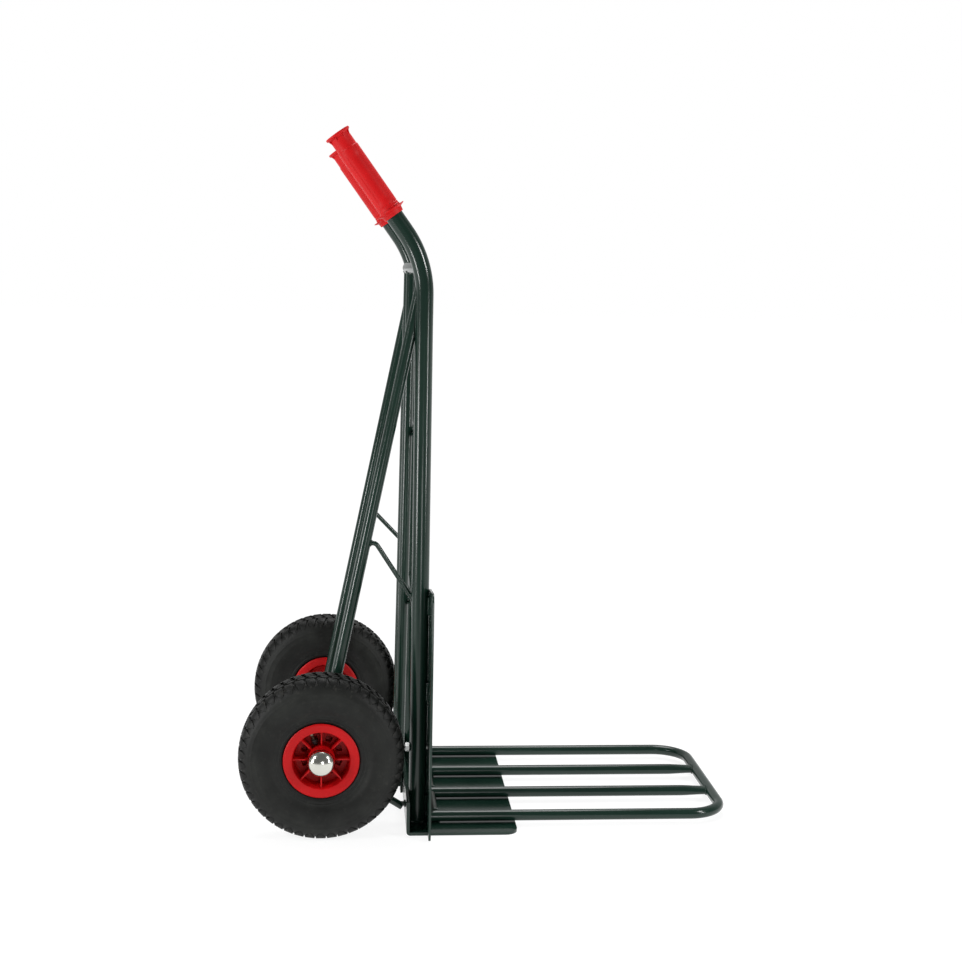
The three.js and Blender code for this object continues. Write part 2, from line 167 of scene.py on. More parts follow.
def closeFinish(board, fixed, varying, height, depth):
    bump = board.put("ShaderNodeBump", {}, {"Strength": 1.0, "Distance": depth, "Height": height})
    shader = board.put("ShaderNodeBsdfPrincipled", {}, {**fixed, **varying, "Normal": bump})
    board.put("ShaderNodeOutputMaterial", {}, {"Surface": shader})


def stretched(board, place, scale):
    return board.put("ShaderNodeMapping", {}, {"Vector": place, "Scale": scale})


enamelLook = {
    "base": colour(14, 37, 29), "thin": colour(24, 48, 39), "dust": colour(74, 84, 78),
    "roughness": 0.15, "specular": 0.45, "orangePeel": 0.000012,
}


def makeEnamel():
    finish, board, place = newFinish("darkGreenEnamel")
    broad = board.noise(place, 9, 2)
    fine = board.noise(place, 240, 4)
    peel = board.noise(place, 620, 2)
    low = board.put("ShaderNodeSeparateXYZ", {}, {"Vector": place}, "Z")
    nearFloor = board.ramp(low, [(0.0, 0.5), (0.06, 0.2), (0.3, 0.08), (1.0, 0.03)])
    speck = board.ramp(fine, [(0.6, 0.0), (0.78, 1.0)])
    dusty = board.clamp(nearFloor * speck * 0.4)
    base = board.mix(board.clamp(broad * 1.4 - 0.3), enamelLook["base"], enamelLook["thin"])
    varying = {
        "Base Color": board.mix(dusty, base, enamelLook["dust"]),
        "Roughness": enamelLook["roughness"] + broad * 0.08 + dusty * 0.45,
    }
    fixed = {"IOR": 1.5, "Specular IOR Level": enamelLook["specular"]}
    closeFinish(board, fixed, varying, peel + broad * 1.5, enamelLook["orangePeel"])
    return finish


plasticLooks = {
    "gripPlastic": {"base": colour(212, 18, 22), "deep": colour(192, 10, 14), "scuffed": colour(214, 40, 42),
                    "roughness": 0.42, "specular": 0.22, "grain": 0.000008},
    # the rims use the grips' red plastic made darker: painted shade
    "shadedRimPlastic": {"base": colour(196, 12, 18), "deep": colour(172, 8, 12), "scuffed": colour(206, 34, 38),
                   "roughness": 0.38, "specular": 0.2, "grain": 0.000008},
}


def makeRedPlastic(name):
    look = plasticLooks[name]
    finish, board, place = newFinish(name)
    flow = board.noise(stretched(board, place, (30, 14, 30)), 1.0, 3)
    scuff = board.ramp(board.noise(place, 130, 5, 0.65), [(0.6, 0.0), (0.72, 1.0)])
    grain = board.noise(place, 900, 2)
    base = board.mix(board.clamp(flow * 1.5 - 0.35), look["deep"], look["base"])
    varying = {
        "Base Color": board.mix(scuff * 0.18, base, look["scuffed"]),
        "Roughness": look["roughness"] + flow * 0.12 + scuff * 0.15,
    }
    closeFinish(board, {"IOR": 1.5, "Specular IOR Level": look["specular"]}, varying,
                grain + flow * 2, look["grain"])
    return finish


rubberLook = {
    # the lighter sidewall colour is painted sheen, partly rubber bloom
    "base": colour(11, 12, 11), "sheenAndBloom": colour(44, 46, 43), "dust": colour(84, 82, 77),
    "roughness": 0.42, "specular": 0.22, "grain": 0.00006,
    # painted sheen rings: lighter about 72 and 104 mm from the axle, darker near the rim
    "sidewallSheen": [(0.06, 0.15), (0.072, 0.6), (0.084, 0.35), (0.104, 1.0), (0.113, 0.7), (0.122, 0.2)],
    "treadDust": [(0.105, 0.12), (0.124, 0.5)],     # both by distance from the axle, in metres
}


def makeTyreRubber():
    finish, board, place = newFinish("tyreRubber")
    centred = board.put("ShaderNodeMapping", {},
                        {"Vector": place, "Location": (0, -axleY, -axleZ), "Scale": (0, 1, 1)})
    radius = board.put("ShaderNodeVectorMath", {"operation": "LENGTH"}, {0: centred}, "Value")
    sidewallSheen = board.ramp(radius, rubberLook["sidewallSheen"])
    patches = board.noise(place, 26, 4)
    smear = board.noise(place, 120, 5, 0.7)
    grain = board.noise(place, 1300, 3)
    # painted sheen: lighter rubber in noise patches along the sidewall rings, partly rubber bloom
    sheenAndBloom = board.clamp(sidewallSheen * (patches * 1.5 - 0.3))
    dusty = board.ramp(smear, [(0.56, 0.0), (0.75, 1.0)]) * board.ramp(radius, rubberLook["treadDust"])
    base = board.mix(sheenAndBloom, rubberLook["base"], rubberLook["sheenAndBloom"])
    varying = {
        "Base Color": board.mix(dusty, base, rubberLook["dust"]),
        "Roughness": rubberLook["roughness"] + patches * 0.16 + dusty * 0.3,
    }
    closeFinish(board, {"IOR": 1.5, "Specular IOR Level": rubberLook["specular"]}, varying,
                grain * 0.7 + smear, rubberLook["grain"])
    return finish


metalLooks = {
    "chromePlate": {"colour": (0.72, 0.72, 0.66, 1), "dull": (0.58, 0.58, 0.53, 1), "roughness": 0.1,
                    "mottle": 0.08, "scale": (90, 90, 90), "depth": 0.000008},
    "zincPlate": {"colour": (0.60, 0.61, 0.61, 1), "dull": (0.34, 0.34, 0.33, 1), "roughness": 0.24,
                  "mottle": 0.22, "scale": (160, 160, 160), "depth": 0.00003},
    "brightSteel": {"colour": (0.52, 0.53, 0.54, 1), "dull": (0.33, 0.31, 0.29, 1), "roughness": 0.26,
                    "mottle": 0.25, "scale": (900, 60, 60), "depth": 0.00003},
    # zinc made almost black for the hinge rod: painted shade
    "shadedZinc": {"colour": (0.05, 0.06, 0.055, 1), "dull": (0.10, 0.10, 0.09, 1), "roughness": 0.3,
                  "mottle": 0.2, "scale": (160, 160, 160), "depth": 0.00003},
    "dullBrass": {"colour": (0.30, 0.29, 0.23, 1), "dull": (0.18, 0.17, 0.13, 1), "roughness": 0.3,
                  "mottle": 0.3, "scale": (220, 220, 220), "depth": 0.00003},
}


def makeMetal(name):
    look = metalLooks[name]
    finish, board, place = newFinish(name)
    mottle = board.noise(stretched(board, place, look["scale"]), 1.0, 4, 0.6)
    stain = board.noise(place, 34, 3)
    varying = {
        "Base Color": board.mix(board.clamp(stain * 1.6 - 0.45), look["colour"], look["dull"]),
        "Roughness": look["roughness"] + mottle * look["mottle"] + stain * look["mottle"] * 0.4,
    }
    closeFinish(board, {"Metallic": 1.0}, varying, mottle, look["depth"])
    return finish


darkLooks = {
    "blackPlastic": {"colour": colour(30, 31, 31), "worn": colour(74, 74, 72), "roughness": 0.42,
                     "grain": 1400, "depth": 0.00005},
    "butylRubber": {"colour": colour(24, 24, 24), "worn": colour(58, 58, 56), "roughness": 0.66,
                    "grain": 700, "depth": 0.00005},
}


def makeDark(name):
    look = darkLooks[name]
    finish, board, place = newFinish(name)
    worn = board.ramp(board.noise(place, 150, 5, 0.7), [(0.52, 0.0), (0.78, 1.0)])
    varying = {
        "Base Color": board.mix(worn * 0.5, look["colour"], look["worn"]),
        "Roughness": look["roughness"] + worn * 0.2,
    }
    closeFinish(board, {"IOR": 1.5}, varying, board.noise(place, look["grain"], 3), look["depth"])
    return finish


enamel = makeEnamel()
gripPlastic = makeRedPlastic("gripPlastic")
shadedRimPlastic = makeRedPlastic("shadedRimPlastic")
tyreRubber = makeTyreRubber()
chrome = makeMetal("chromePlate")
zinc = makeMetal("zincPlate")
steel = makeMetal("brightSteel")
brass = makeMetal("dullBrass")
shadedZinc = makeMetal("shadedZinc")
blackPlastic = makeDark("blackPlastic")
butyl = makeDark("butylRubber")
print("finishes made")


# Geometry Nodes trees

def newTree(name, inputs):
    tree = bpy.data.node_groups.new(name, "GeometryNodeTree")
    tree.interface.new_socket("Geometry", in_out="INPUT", socket_type="NodeSocketGeometry")
    for label, kind in inputs:
        tree.interface.new_socket(label, in_out="INPUT", socket_type="NodeSocket" + kind)
    tree.interface.new_socket("Geometry", in_out="OUTPUT", socket_type="NodeSocketGeometry")
    return tree, Board(tree)


def closeTree(board, mesh, creaseAngle=0.6):
    smooth = board.put("GeometryNodeSetShadeSmooth", {"domain": "FACE"},
                       {"Geometry": mesh, "Shade Smooth": True})
    angle = board.put("GeometryNodeInputMeshEdgeAngle", {}, {}, "Unsigned Angle")
    crease = board.put("FunctionNodeCompare", {"operation": "GREATER_THAN"}, {0: angle, 1: creaseAngle})
    creased = board.put("GeometryNodeSetShadeSmooth", {"domain": "EDGE"},
                        {"Geometry": smooth, "Selection": crease, "Shade Smooth": False})
    whole = board.put("GeometryNodeRealizeInstances", {}, {"Geometry": creased})
    done = board.put("GeometryNodeSetMaterial", {}, {"Geometry": whole, "Material": board.given("Finish")})
    board.put("NodeGroupOutput", {}, {"Geometry": done})


def makeSweepTree():                            # a round bar or bead that follows every line of the mesh
    tree, board = newTree("barAlongLine", [
        ("Radius", "Float"), ("Sides", "Int"), ("Ripple", "Float"), ("Ripple Pitch", "Float"),
        ("Wander", "Float"), ("Seed", "Float"), ("Finish", "Material")])
    line = board.put("GeometryNodeMeshToCurve", {}, {"Mesh": board.given("Geometry")})
    along = board.put("GeometryNodeSplineParameter", {}, {}, "Length")
    place = board.put("GeometryNodeInputPosition", {}, {})
    ripple = board.sum("SINE", along * math.tau / board.given("Ripple Pitch")) * board.given("Ripple")
    drift = board.put("ShaderNodeTexNoise", {"noise_dimensions": "4D"},
                      {"Vector": place, "W": board.given("Seed"), "Scale": 260.0, "Detail": 1.0}, "Fac")
    swell = 1.0 + ripple + (drift - 0.5) * board.given("Wander")
    circle = board.put("GeometryNodeCurvePrimitiveCircle", {"mode": "RADIUS"},
                       {"Resolution": board.given("Sides"), "Radius": board.given("Radius")})
    bar = board.put("GeometryNodeCurveToMesh", {},
                    {"Curve": line, "Profile Curve": circle, "Scale": swell, "Fill Caps": True})
    closeTree(board, bar)
    return tree


def makeRoundTree():                            # copies of the mesh turned about a wheel's middle
    tree, board = newTree("copiesRoundWheel", [
        ("Count", "Int"), ("Centre", "Vector"), ("First Angle", "Float"), ("Unevenness", "Float"),
        ("Seed", "Int"), ("Finish", "Material")])
    count = board.given("Count")
    points = board.put("GeometryNodeMeshLine", {"mode": "OFFSET"},
                       {"Count": count, "Start Location": board.given("Centre"), "Offset": (0, 0, 0)})
    index = board.put("GeometryNodeInputIndex", {}, {})
    turn = index * math.tau / count + board.given("First Angle")
    spin = board.put("FunctionNodeAxisAngleToRotation", {}, {"Axis": (1, 0, 0), "Angle": turn})
    uneven = board.given("Unevenness")
    size = board.put("FunctionNodeRandomValue", {"data_type": "FLOAT"},
                     {2: 1.0 - uneven, 3: 1.0 + uneven, "ID": index, "Seed": board.given("Seed")}, 1)
    scale = board.put("ShaderNodeCombineXYZ", {}, {"X": size, "Y": 1.0, "Z": 1.0})
    copies = board.put("GeometryNodeInstanceOnPoints", {}, {
        "Points": points, "Instance": board.given("Geometry"), "Rotation": spin, "Scale": scale})
    closeTree(board, board.put("GeometryNodeRealizeInstances", {}, {"Geometry": copies}))
    return tree


sweepTree = makeSweepTree()
roundTree = makeRoundTree()


def grow(name, source, tree, values):           # runs a tree on a mesh and gives back the plain result
    holder = bpy.data.objects.new(name, source)
    scene.collection.objects.link(holder)
    modifier = holder.modifiers.new("grow", "NODES")
    modifier.node_group = tree
    for item in tree.interface.items_tree:
        if item.item_type == "SOCKET" and item.in_out == "INPUT" and item.name in values:
            modifier[item.identifier] = values[item.name]
    graph = bpy.context.evaluated_depsgraph_get()
    grown = bpy.data.meshes.new_from_object(holder.evaluated_get(graph))
    bpy.data.objects.remove(holder)
    bpy.data.meshes.remove(source)
    return grown


# Shapes

def roundedLine(points, radius, steps=6, closed=False):   # corners become arcs of the radius
    points = [Vector(p) for p in points]
    count = len(points)
    radii = radius if isinstance(radius, (list, tuple)) else [radius] * count
    line = []
    for k, corner in enumerate(points):
        if not closed and k in (0, count - 1):
            line.append(corner)
            continue
        before, after = corner - points[k - 1], points[(k + 1) % count] - corner
        into, out = before.normalized(), after.normalized()
        turn = into.angle(out, 0)
        if turn < 0.01 or radii[k] == 0:
            line.append(corner)
            continue
        reach = min(radii[k] * math.tan(turn / 2), 0.48 * min(before.length, after.length))
        bend = reach / math.tan(turn / 2)
        inward = (out - into * into.dot(out)).normalized()
        for step in range(steps + 1):
            angle = turn * step / steps
            onward, aside = bend * math.sin(angle) - reach, bend * (1 - math.cos(angle))
            line.append(corner + into * onward + inward * aside)
    return line


def lineMesh(name, lines):                      # lines is a list of (points, closed)
    vertices, edges = [], []
    for points, closed in lines:
        first = len(vertices)
        vertices += [tuple(p) for p in points]
        edges += [(first + k, first + k + 1) for k in range(len(points) - 1)]
        if closed:
            edges.append((len(vertices) - 1, first))
    mesh = bpy.data.meshes.new(name)
    mesh.from_pydata(vertices, edges, [])
    return mesh


def finishMesh(shape, material, creaseDegrees=38):
    bmesh.ops.recalc_face_normals(shape, faces=shape.faces)
    mesh = bpy.data.meshes.new("shape")
    shape.to_mesh(mesh)
    shape.free()
    mesh.materials.append(material)
    mesh.shade_smooth()
    mesh.set_sharp_from_angle(angle=math.radians(creaseDegrees))
    return mesh


def newPiece(name, mesh, body, slot, *nodes):
    piece = bpy.data.objects.new(name, mesh)
    mesh.name = name
    scene.collection.objects.link(piece)
    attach(piece, body)
    if nodes:
        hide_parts(*nodes)


def shapedPiece(name, shape, material, body, slot, node, creaseDegrees=38):
    newPiece(name, finishMesh(shape, material, creaseDegrees), body, slot, node)


def joinMeshes(meshes):
    shape = bmesh.new()
    joined = bpy.data.meshes.new("joined")
    joined.materials.append(meshes[0].materials[0])
    for mesh in meshes:
        shape.from_mesh(mesh)
        bpy.data.meshes.remove(mesh)
    shape.to_mesh(joined)
    shape.free()
    return joined


def frameBar(name, points, radius, sides, node):        # a round bar of the frame, in its enamel
    mesh = grow(name, lineMesh(name, [(points, False)]), sweepTree, {
        "Radius": radius * mm, "Sides": sides, "Ripple": 0.0, "Ripple Pitch": 1.0, "Wander": 0.0, "Seed": 0.0,
        "Finish": enamel})
    newPiece(name, mesh, "frame", "green_enamel", node)


def lathe(profile, segments, closed, shape=None):   # profile of (along X, radius) in mm; returns a bmesh
    made = bmesh.new()
    rings = []
    for along, radius in profile:
        if radius < 1e-6:
            rings.append([made.verts.new((along * mm, 0, 0))])
            continue
        ring = []
        for k in range(segments):
            angle = math.tau * k / segments
            x, r = shape(along, radius, angle) if shape else (along, radius)
            ring.append(made.verts.new((x * mm, r * mm * math.cos(angle), r * mm * math.sin(angle))))
        rings.append(ring)
    for low, high in zip(rings, rings[1:] + ([rings[0]] if closed else [])):
        for k in range(segments):
            n = (k + 1) % segments
            if len(low) == 1 and len(high) == 1:
                break
            if len(low) == 1:
                made.faces.new((low[0], high[k], high[n]))
            elif len(high) == 1:
                made.faces.new((low[k], low[n], high[0]))
            else:
                made.faces.new((low[k], low[n], high[n], high[k]))
    return made


def profileOf(points, radius, steps=3, closed=False):
    line = roundedLine([(a, r, 0) for a, r in points], radius, steps, closed)
    return [(p.x, p.y) for p in line]


def slab(outline, thick, bevel):                # an outline of (x, y) in mm, made thick from z = 0 up
    made = bmesh.new()
    low = [made.verts.new((x * mm, y * mm, 0)) for x, y in outline]
    high = [made.verts.new((x * mm, y * mm, thick * mm)) for x, y in outline]
    rims = []
    made.faces.new(low[::-1])
    made.faces.new(high)
    for k in range(len(outline)):
        n = (k + 1) % len(outline)
        made.faces.new((low[k], low[n], high[n], high[k]))
        rims += [made.edges.get((low[k], low[n])), made.edges.get((high[k], high[n]))]
    bmesh.ops.bevel(made, geom=rims, offset=bevel * mm, segments=2, profile=0.5, affect="EDGES",
                    clamp_overlap=True)
    return made


def ringLine(centre, normal, radius, count=32):
    side = normal.orthogonal().normalized()
    up = normal.normalized().cross(side)
    turns = [math.tau * k / count for k in range(count)]
    return [centre + (side * math.cos(turn) + up * math.sin(turn)) * radius * mm for turn in turns]


def meetingLine(start, along, radius, other, otherAlong, otherRadius, count=40):
    # where a round bar's surface runs into another one: a closed line of points
    along, otherAlong = along.normalized(), otherAlong.normalized()
    points = []
    for spot in ringLine(start, along, radius, count):
        flat = along - otherAlong * along.dot(otherAlong)
        across = spot - other - otherAlong * (spot - other).dot(otherAlong)
        a, b, c = flat.dot(flat), 2 * flat.dot(across), across.dot(across) - (otherRadius * mm) ** 2
        room = b * b - 4 * a * c
        reach = (-b - math.sqrt(room)) / (2 * a) if room > 0 else -b / (2 * a)
        points.append(spot + along * reach)
    return points


weldLines = {"frame": [], "platform": []}       # filled in as the pieces are made


def weldRing(points, radius, body="frame"):
    weldLines[body].append((points, True, radius))


def weldSeam(first, last, radius):
    weldLines["frame"].append(([first, last], False, radius))


# The welded frame

tubes = {
    "mainX": 159, "mainY": -153.5, "mainRadius": 14, "mainFoot": 5.2,
    "handleCorner": 902, "handleTilt": 36, "handleBend": 165, "handleEnd": 227,
    "uprightX": 57.4, "uprightRadius": 8, "uprightFootY": -125.9, "uprightFootZ": 17, "uprightTopY": -136.4,
    "uprightTopZ": 880, "tongueThick": 4, "tongueLength": 12, "wall": 1.5,
    "braceX": 156, "braceRadius": 9, "braceFootY": 1.2, "braceTopY": -149.5, "braceTopZ": 871.7,
    "strutRadius": 3.75, "strutCornerY": -82.3, "strutLevels": {"right": 458, "left": 462},
    "strutFeet": {"right": 361, "left": 396}, "sides": 40,
}
handleTilt = math.radians(tubes["handleTilt"])
handleAlong = Vector((0, math.sin(handleTilt), math.cos(handleTilt)))


def handlePoint(x, distance):                   # a point on the handle's line, from its corner
    return at(x, tubes["mainY"], tubes["handleCorner"]) + handleAlong * distance * mm


def makeMainTube(hand, side):
    x = side * tubes["mainX"]
    corners = [at(x, tubes["mainY"], tubes["mainFoot"]), at(x, tubes["mainY"], tubes["handleCorner"]),
               handlePoint(x, tubes["handleEnd"])]
    path = roundedLine(corners, tubes["handleBend"] * mm, 22)
    frameBar("mainTube_" + hand, path, tubes["mainRadius"], tubes["sides"] + 16, "main_tube_" + hand)
    foot = at(x, tubes["mainY"], tubes["mainFoot"] + 0.6)
    weldRing(ringLine(foot, upwards, tubes["mainRadius"] + 0.4, 60), 2.1)


def makeUpright(hand, side):
    x = side * tubes["uprightX"]
    radius = tubes["uprightRadius"]
    foot = at(x, tubes["uprightFootY"], tubes["uprightFootZ"])
    top = at(x, tubes["uprightTopY"], tubes["uprightTopZ"] + 6)
    along = (top - foot).normalized()
    shoulder = foot + along * tubes["tongueLength"] * mm
    sides = tubes["sides"]
    made = bmesh.new()
    rings = []
    inside = radius - tubes["wall"]
    for ringRadius, low, high in ((radius, foot, top), (inside, top - along * 0.02, shoulder + along * 0.03)):
        for place in (low, high):
            ring = []
            for k in range(sides):
                angle = math.tau * k / sides
                spot = place + Vector((math.cos(angle), math.sin(angle), 0)) * ringRadius * mm
                if place is foot and math.sin(angle) * radius > tubes["tongueThick"] - radius:
                    spot += shoulder - foot
                ring.append(made.verts.new(spot))
            rings.append(ring)
    for low, high in zip(rings, rings[1:]):
        for k in range(sides):
            n = (k + 1) % sides
            made.faces.new((low[k], low[n], high[n], high[k]))
    made.faces.new(rings[-1])
    # the hollow's rim and the tongue's back close the foot
    outer, inner = rings[0], [made.verts.new(v.co.copy()) for v in rings[0]]
    for vert, core in zip(inner, rings[3]):
        centre = foot + along * (vert.co.z - foot.z)
        vert.co = centre + (vert.co - centre) * inside / radius
    for k in range(sides):
        n = (k + 1) % sides
        made.faces.new((outer[n], outer[k], inner[k], inner[n]))
        if (inner[k].co - rings[3][k].co).length > 1e-7 or (inner[n].co - rings[3][n].co).length > 1e-7:
            made.faces.new((inner[n], inner[k], rings[3][k], rings[3][n]))
    bmesh.ops.remove_doubles(made, verts=made.verts, dist=1e-7)
    shapedPiece("innerUpright_" + hand, made, enamel, "frame", "green_enamel", "inner_upright_" + hand)
    barRadius = bars["top_crossbar"]["radius"]
    bar = at(x, tubes["uprightTopY"], tubes["uprightTopZ"] + barRadius)
    weldRing(meetingLine(shoulder, along, radius, bar, sideways, barRadius, 44), 1.5)
    for edge in (-1, 1):
        reach = edge * 0.93 * radius
        low = at(x + reach, tubes["uprightFootY"] - 0.62 * radius, tubes["uprightFootZ"] + 1)
        weldSeam(low, low + upwards * 0.03, 1.9)


def braceEnds(side):
    x = side * tubes["braceX"]
    return at(x, tubes["braceFootY"], axleHeight), at(x, tubes["braceTopY"], tubes["braceTopZ"])


def makeBrace(hand, side):
    low, high = braceEnds(side)
    along = (high - low).normalized()
    start = low + along * 4 * mm
    middle = low.lerp(high, 0.5)
    radius, mainRadius = tubes["braceRadius"], tubes["mainRadius"]
    frameBar("rearBrace_" + hand, [start, middle, high], radius, tubes["sides"], "rear_brace_" + hand)
    sleeve = at(side * tubes["braceX"], 0, axleHeight)
    weldRing(meetingLine(middle, -along, radius, sleeve, sideways, axleLook["sleeveRadius"], 56), 1.7)
    tube = at(side * tubes["mainX"], tubes["mainY"], 800)
    weldRing(meetingLine(middle, along, radius - 0.4, tube, upwards, mainRadius - 0.2, 90), 1.3)


def makeStrut(hand, side):
    x = side * tubes["braceX"]
    radius, level, foot = tubes["strutRadius"], tubes["strutLevels"][hand], tubes["strutFeet"][hand]
    low, high = braceEnds(side)
    onBrace = low.lerp(high, (level - axleHeight) * mm / (high.z - low.z))
    bend, end = at(x, tubes["strutCornerY"], level), at(x, -146, foot)
    path = roundedLine([onBrace, bend, end], 9 * mm, 8)
    frameBar("braceStrut_" + hand, path, radius, 24, "brace_strut_" + hand)
    weldRing(meetingLine(bend, onBrace - bend, radius, onBrace, high - low, tubes["braceRadius"], 32), 1.6)
    tube = at(side * tubes["mainX"], tubes["mainY"], 400)
    weldRing(meetingLine(bend, end - bend, radius, tube, upwards, tubes["mainRadius"], 32), 1.5)


bars = {
    "top_crossbar": {"height": 890, "radius": 10, "endY": -148.2, "middleY": -134.6},
    "middle_crossbar": {"height": 625, "radius": 8, "endY": -153.5, "middleY": None},
    "lower_crossbar": {"height": 345, "radius": 8, "endY": -153.5, "middleY": None},
}


def makeCrossbar(node, title):
    look = bars[node]
    middleY = look["middleY"]
    if middleY is None:                         # bowed back until it touches the uprights
        middleY = (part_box(node)[1].y - axleY) / mm - look["radius"]
    rise = middleY - look["endY"]
    radius = (tubes["mainX"] ** 2 + rise ** 2) / (2 * rise)
    half = math.asin(tubes["mainX"] / radius)
    path = []
    for k in range(25):
        angle = half * (k / 12 - 1)
        path.append(at(radius * math.sin(angle), middleY - radius * (1 - math.cos(angle)), look["height"]))
    frameBar(title, path, look["radius"], tubes["sides"], node)
    for end, inner in ((path[0], path[3]), (path[-1], path[-4])):
        tubeMiddle = at(math.copysign(tubes["mainX"], end.x), look["endY"], look["height"])
        lean = Vector((0, 0.25, 0.97)) if look["height"] > 850 else upwards      # the bend starts there
        ring = meetingLine(inner, end - inner, look["radius"], tubeMiddle, lean, tubes["mainRadius"], 60)
        weldRing(ring, 1.9)
    if look["middleY"] is None:                 # short beads where it touches an upright
        for side in (-1, 1):
            share = (look["height"] - tubes["uprightFootZ"]) / (tubes["uprightTopZ"] - tubes["uprightFootZ"])
            backY = tubes["uprightFootY"] + share * (tubes["uprightTopY"] - tubes["uprightFootY"])
            touch = at(side * tubes["uprightX"], backY - tubes["uprightRadius"] - 0.1, look["height"])
            for edge in (-1, 1):
                bead = touch + Vector((0, -0.0003, edge * 0.0032))
                weldSeam(bead - sideways * 0.006, bead + sideways * 0.006, 1.9)


stays = {
    "radius": 6, "footY": -129, "footZ": 26.4, "headY": 10, "headZ": 112.7, "studRadius": 3.8, "studZ": 31,
    "sides": 32,
}


def makeStay(hand, side):
    x = side * tubes["braceX"]
    foot, head = at(x, stays["footY"], stays["footZ"]), at(x, stays["headY"], stays["headZ"])
    frameBar("lowerStay_" + hand, [foot, foot.lerp(head, 0.5), head], stays["radius"], stays["sides"],
             "lower_stay_" + hand)
    flange = at(x, plateLook["flangeRear"] + 0.3, stays["studZ"])
    inStay = at(x, stays["footY"] + 4, stays["studZ"])
    frameBar("stayStud_" + hand, [flange, inStay], stays["studRadius"], 20, "stay_stud_" + hand)
    weldRing(ringLine(flange + Vector((0, 0.0004, 0)), Vector((0, 1, 0)), stays["studRadius"] + 0.4, 28), 1.7)
    along = (head - foot).normalized()
    outwards = along.cross(sideways).normalized()
    under = at(x, 0, axleHeight) + outwards * (axleLook["sleeveRadius"] + 0.2) * mm
    for edge in (-1, 1):
        bead = under + along * edge * 0.0042
        weldSeam(bead - sideways * 0.006, bead + sideways * 0.006, 2.0)


axleLook = {"radius": 10, "sleeveHalf": 14, "sleeveBore": 10.25, "sleeveRadius": 13.5, "segments": 56}


def makeAxle():
    low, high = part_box("axle")
    half, radius = (high.x - low.x) / 2 / mm, axleLook["radius"]
    made = lathe(profileOf([(-half, 0), (-half, radius), (half, radius), (half, 0)], 1.0, 3),
                 axleLook["segments"], False)
    made.transform(Matrix.Translation(at(0, 0, axleHeight)))
    shapedPiece("axle", made, steel, "frame", "steel", "axle")
    half, bore, radius = axleLook["sleeveHalf"], axleLook["sleeveBore"], axleLook["sleeveRadius"]
    for hand, side in hands:
        outline = [(-half, bore), (-half, radius), (half, radius), (half, bore)]
        made = lathe(profileOf(outline, 0.7, 3, True), axleLook["segments"], True)
        made.transform(Matrix.Translation(at(side * tubes["braceX"], 0, axleHeight)))
        shapedPiece("axleSleeve_" + hand, made, enamel, "frame", "green_enamel", "axle_sleeve_" + hand)


plateLook = {"thick": 5, "half": 220, "front": -312, "flangeRear": -134.2, "flangeTop": 54, "corner": 20,
             "outerBend": 6.2, "edge": 0.9}


def makeToePlate():
    front, half, corner = plateLook["front"], plateLook["half"], plateLook["corner"]
    middle = plateLook["thick"] / 2
    rear = plateLook["flangeRear"] - middle
    line = roundedLine([(front, middle, 0), (rear, middle, 0), (rear, plateLook["flangeTop"], 0)],
                       plateLook["outerBend"] - middle, 8)
    rows = []                                   # each: (y, z), the way out of the surface, half the width
    for degrees in range(0, 91, 9):             # the rounded corners in front
        turn = math.radians(degrees)
        wide = half - corner + corner * math.sin(turn)
        rows.append(((front + corner * (1 - math.cos(turn)), middle), (0, -1), wide))
    for k, point in enumerate(line[1:], 1):
        after = line[min(k + 1, len(line) - 1)] - line[k - 1]
        rows.append(((point.x, point.y), (after.y / after.length, -after.x / after.length), half))
    made = bmesh.new()
    columns = [k / 12 * 2 - 1 for k in range(13)]
    skins = []
    for lift in (middle, -middle):              # the two faces
        skin = []
        for (y, z), (outY, outZ), wide in rows:
            skin.append([made.verts.new(at(c * wide, y + lift * outY, z + lift * outZ)) for c in columns])
        skins.append(skin)
    for skin in skins:
        for low, high in zip(skin, skin[1:]):
            for k in range(12):
                made.faces.new((low[k], low[k + 1], high[k + 1], high[k]))
    loops = []
    for skin in skins:
        up, down = [row[0] for row in skin], [row[-1] for row in skin[-2::-1]]
        loops.append(up + skin[-1][1:] + down + skin[0][-2:0:-1])
    edges = []
    for k in range(len(loops[0])):
        n = (k + 1) % len(loops[0])
        made.faces.new((loops[0][k], loops[0][n], loops[1][n], loops[1][k]))
        edges += [made.edges.get((loop[k], loop[n])) for loop in loops]
    bmesh.ops.bevel(made, geom=edges, offset=plateLook["edge"] * mm, segments=3, profile=0.5, affect="EDGES",
                    clamp_overlap=True)
    shapedPiece("toePlate", made, enamel, "frame", "green_enamel", "toe_plate")


guardLook = {
    "thick": 3.5, "outer": 250, "top": 395, "topInner": 383, "rear": -167.8, "corner": 12, "foot": 7,
    "gap": 0.3, "welds": [(20, 48), (205, 233), (345, 373)], "weldReach": 8.6,
}


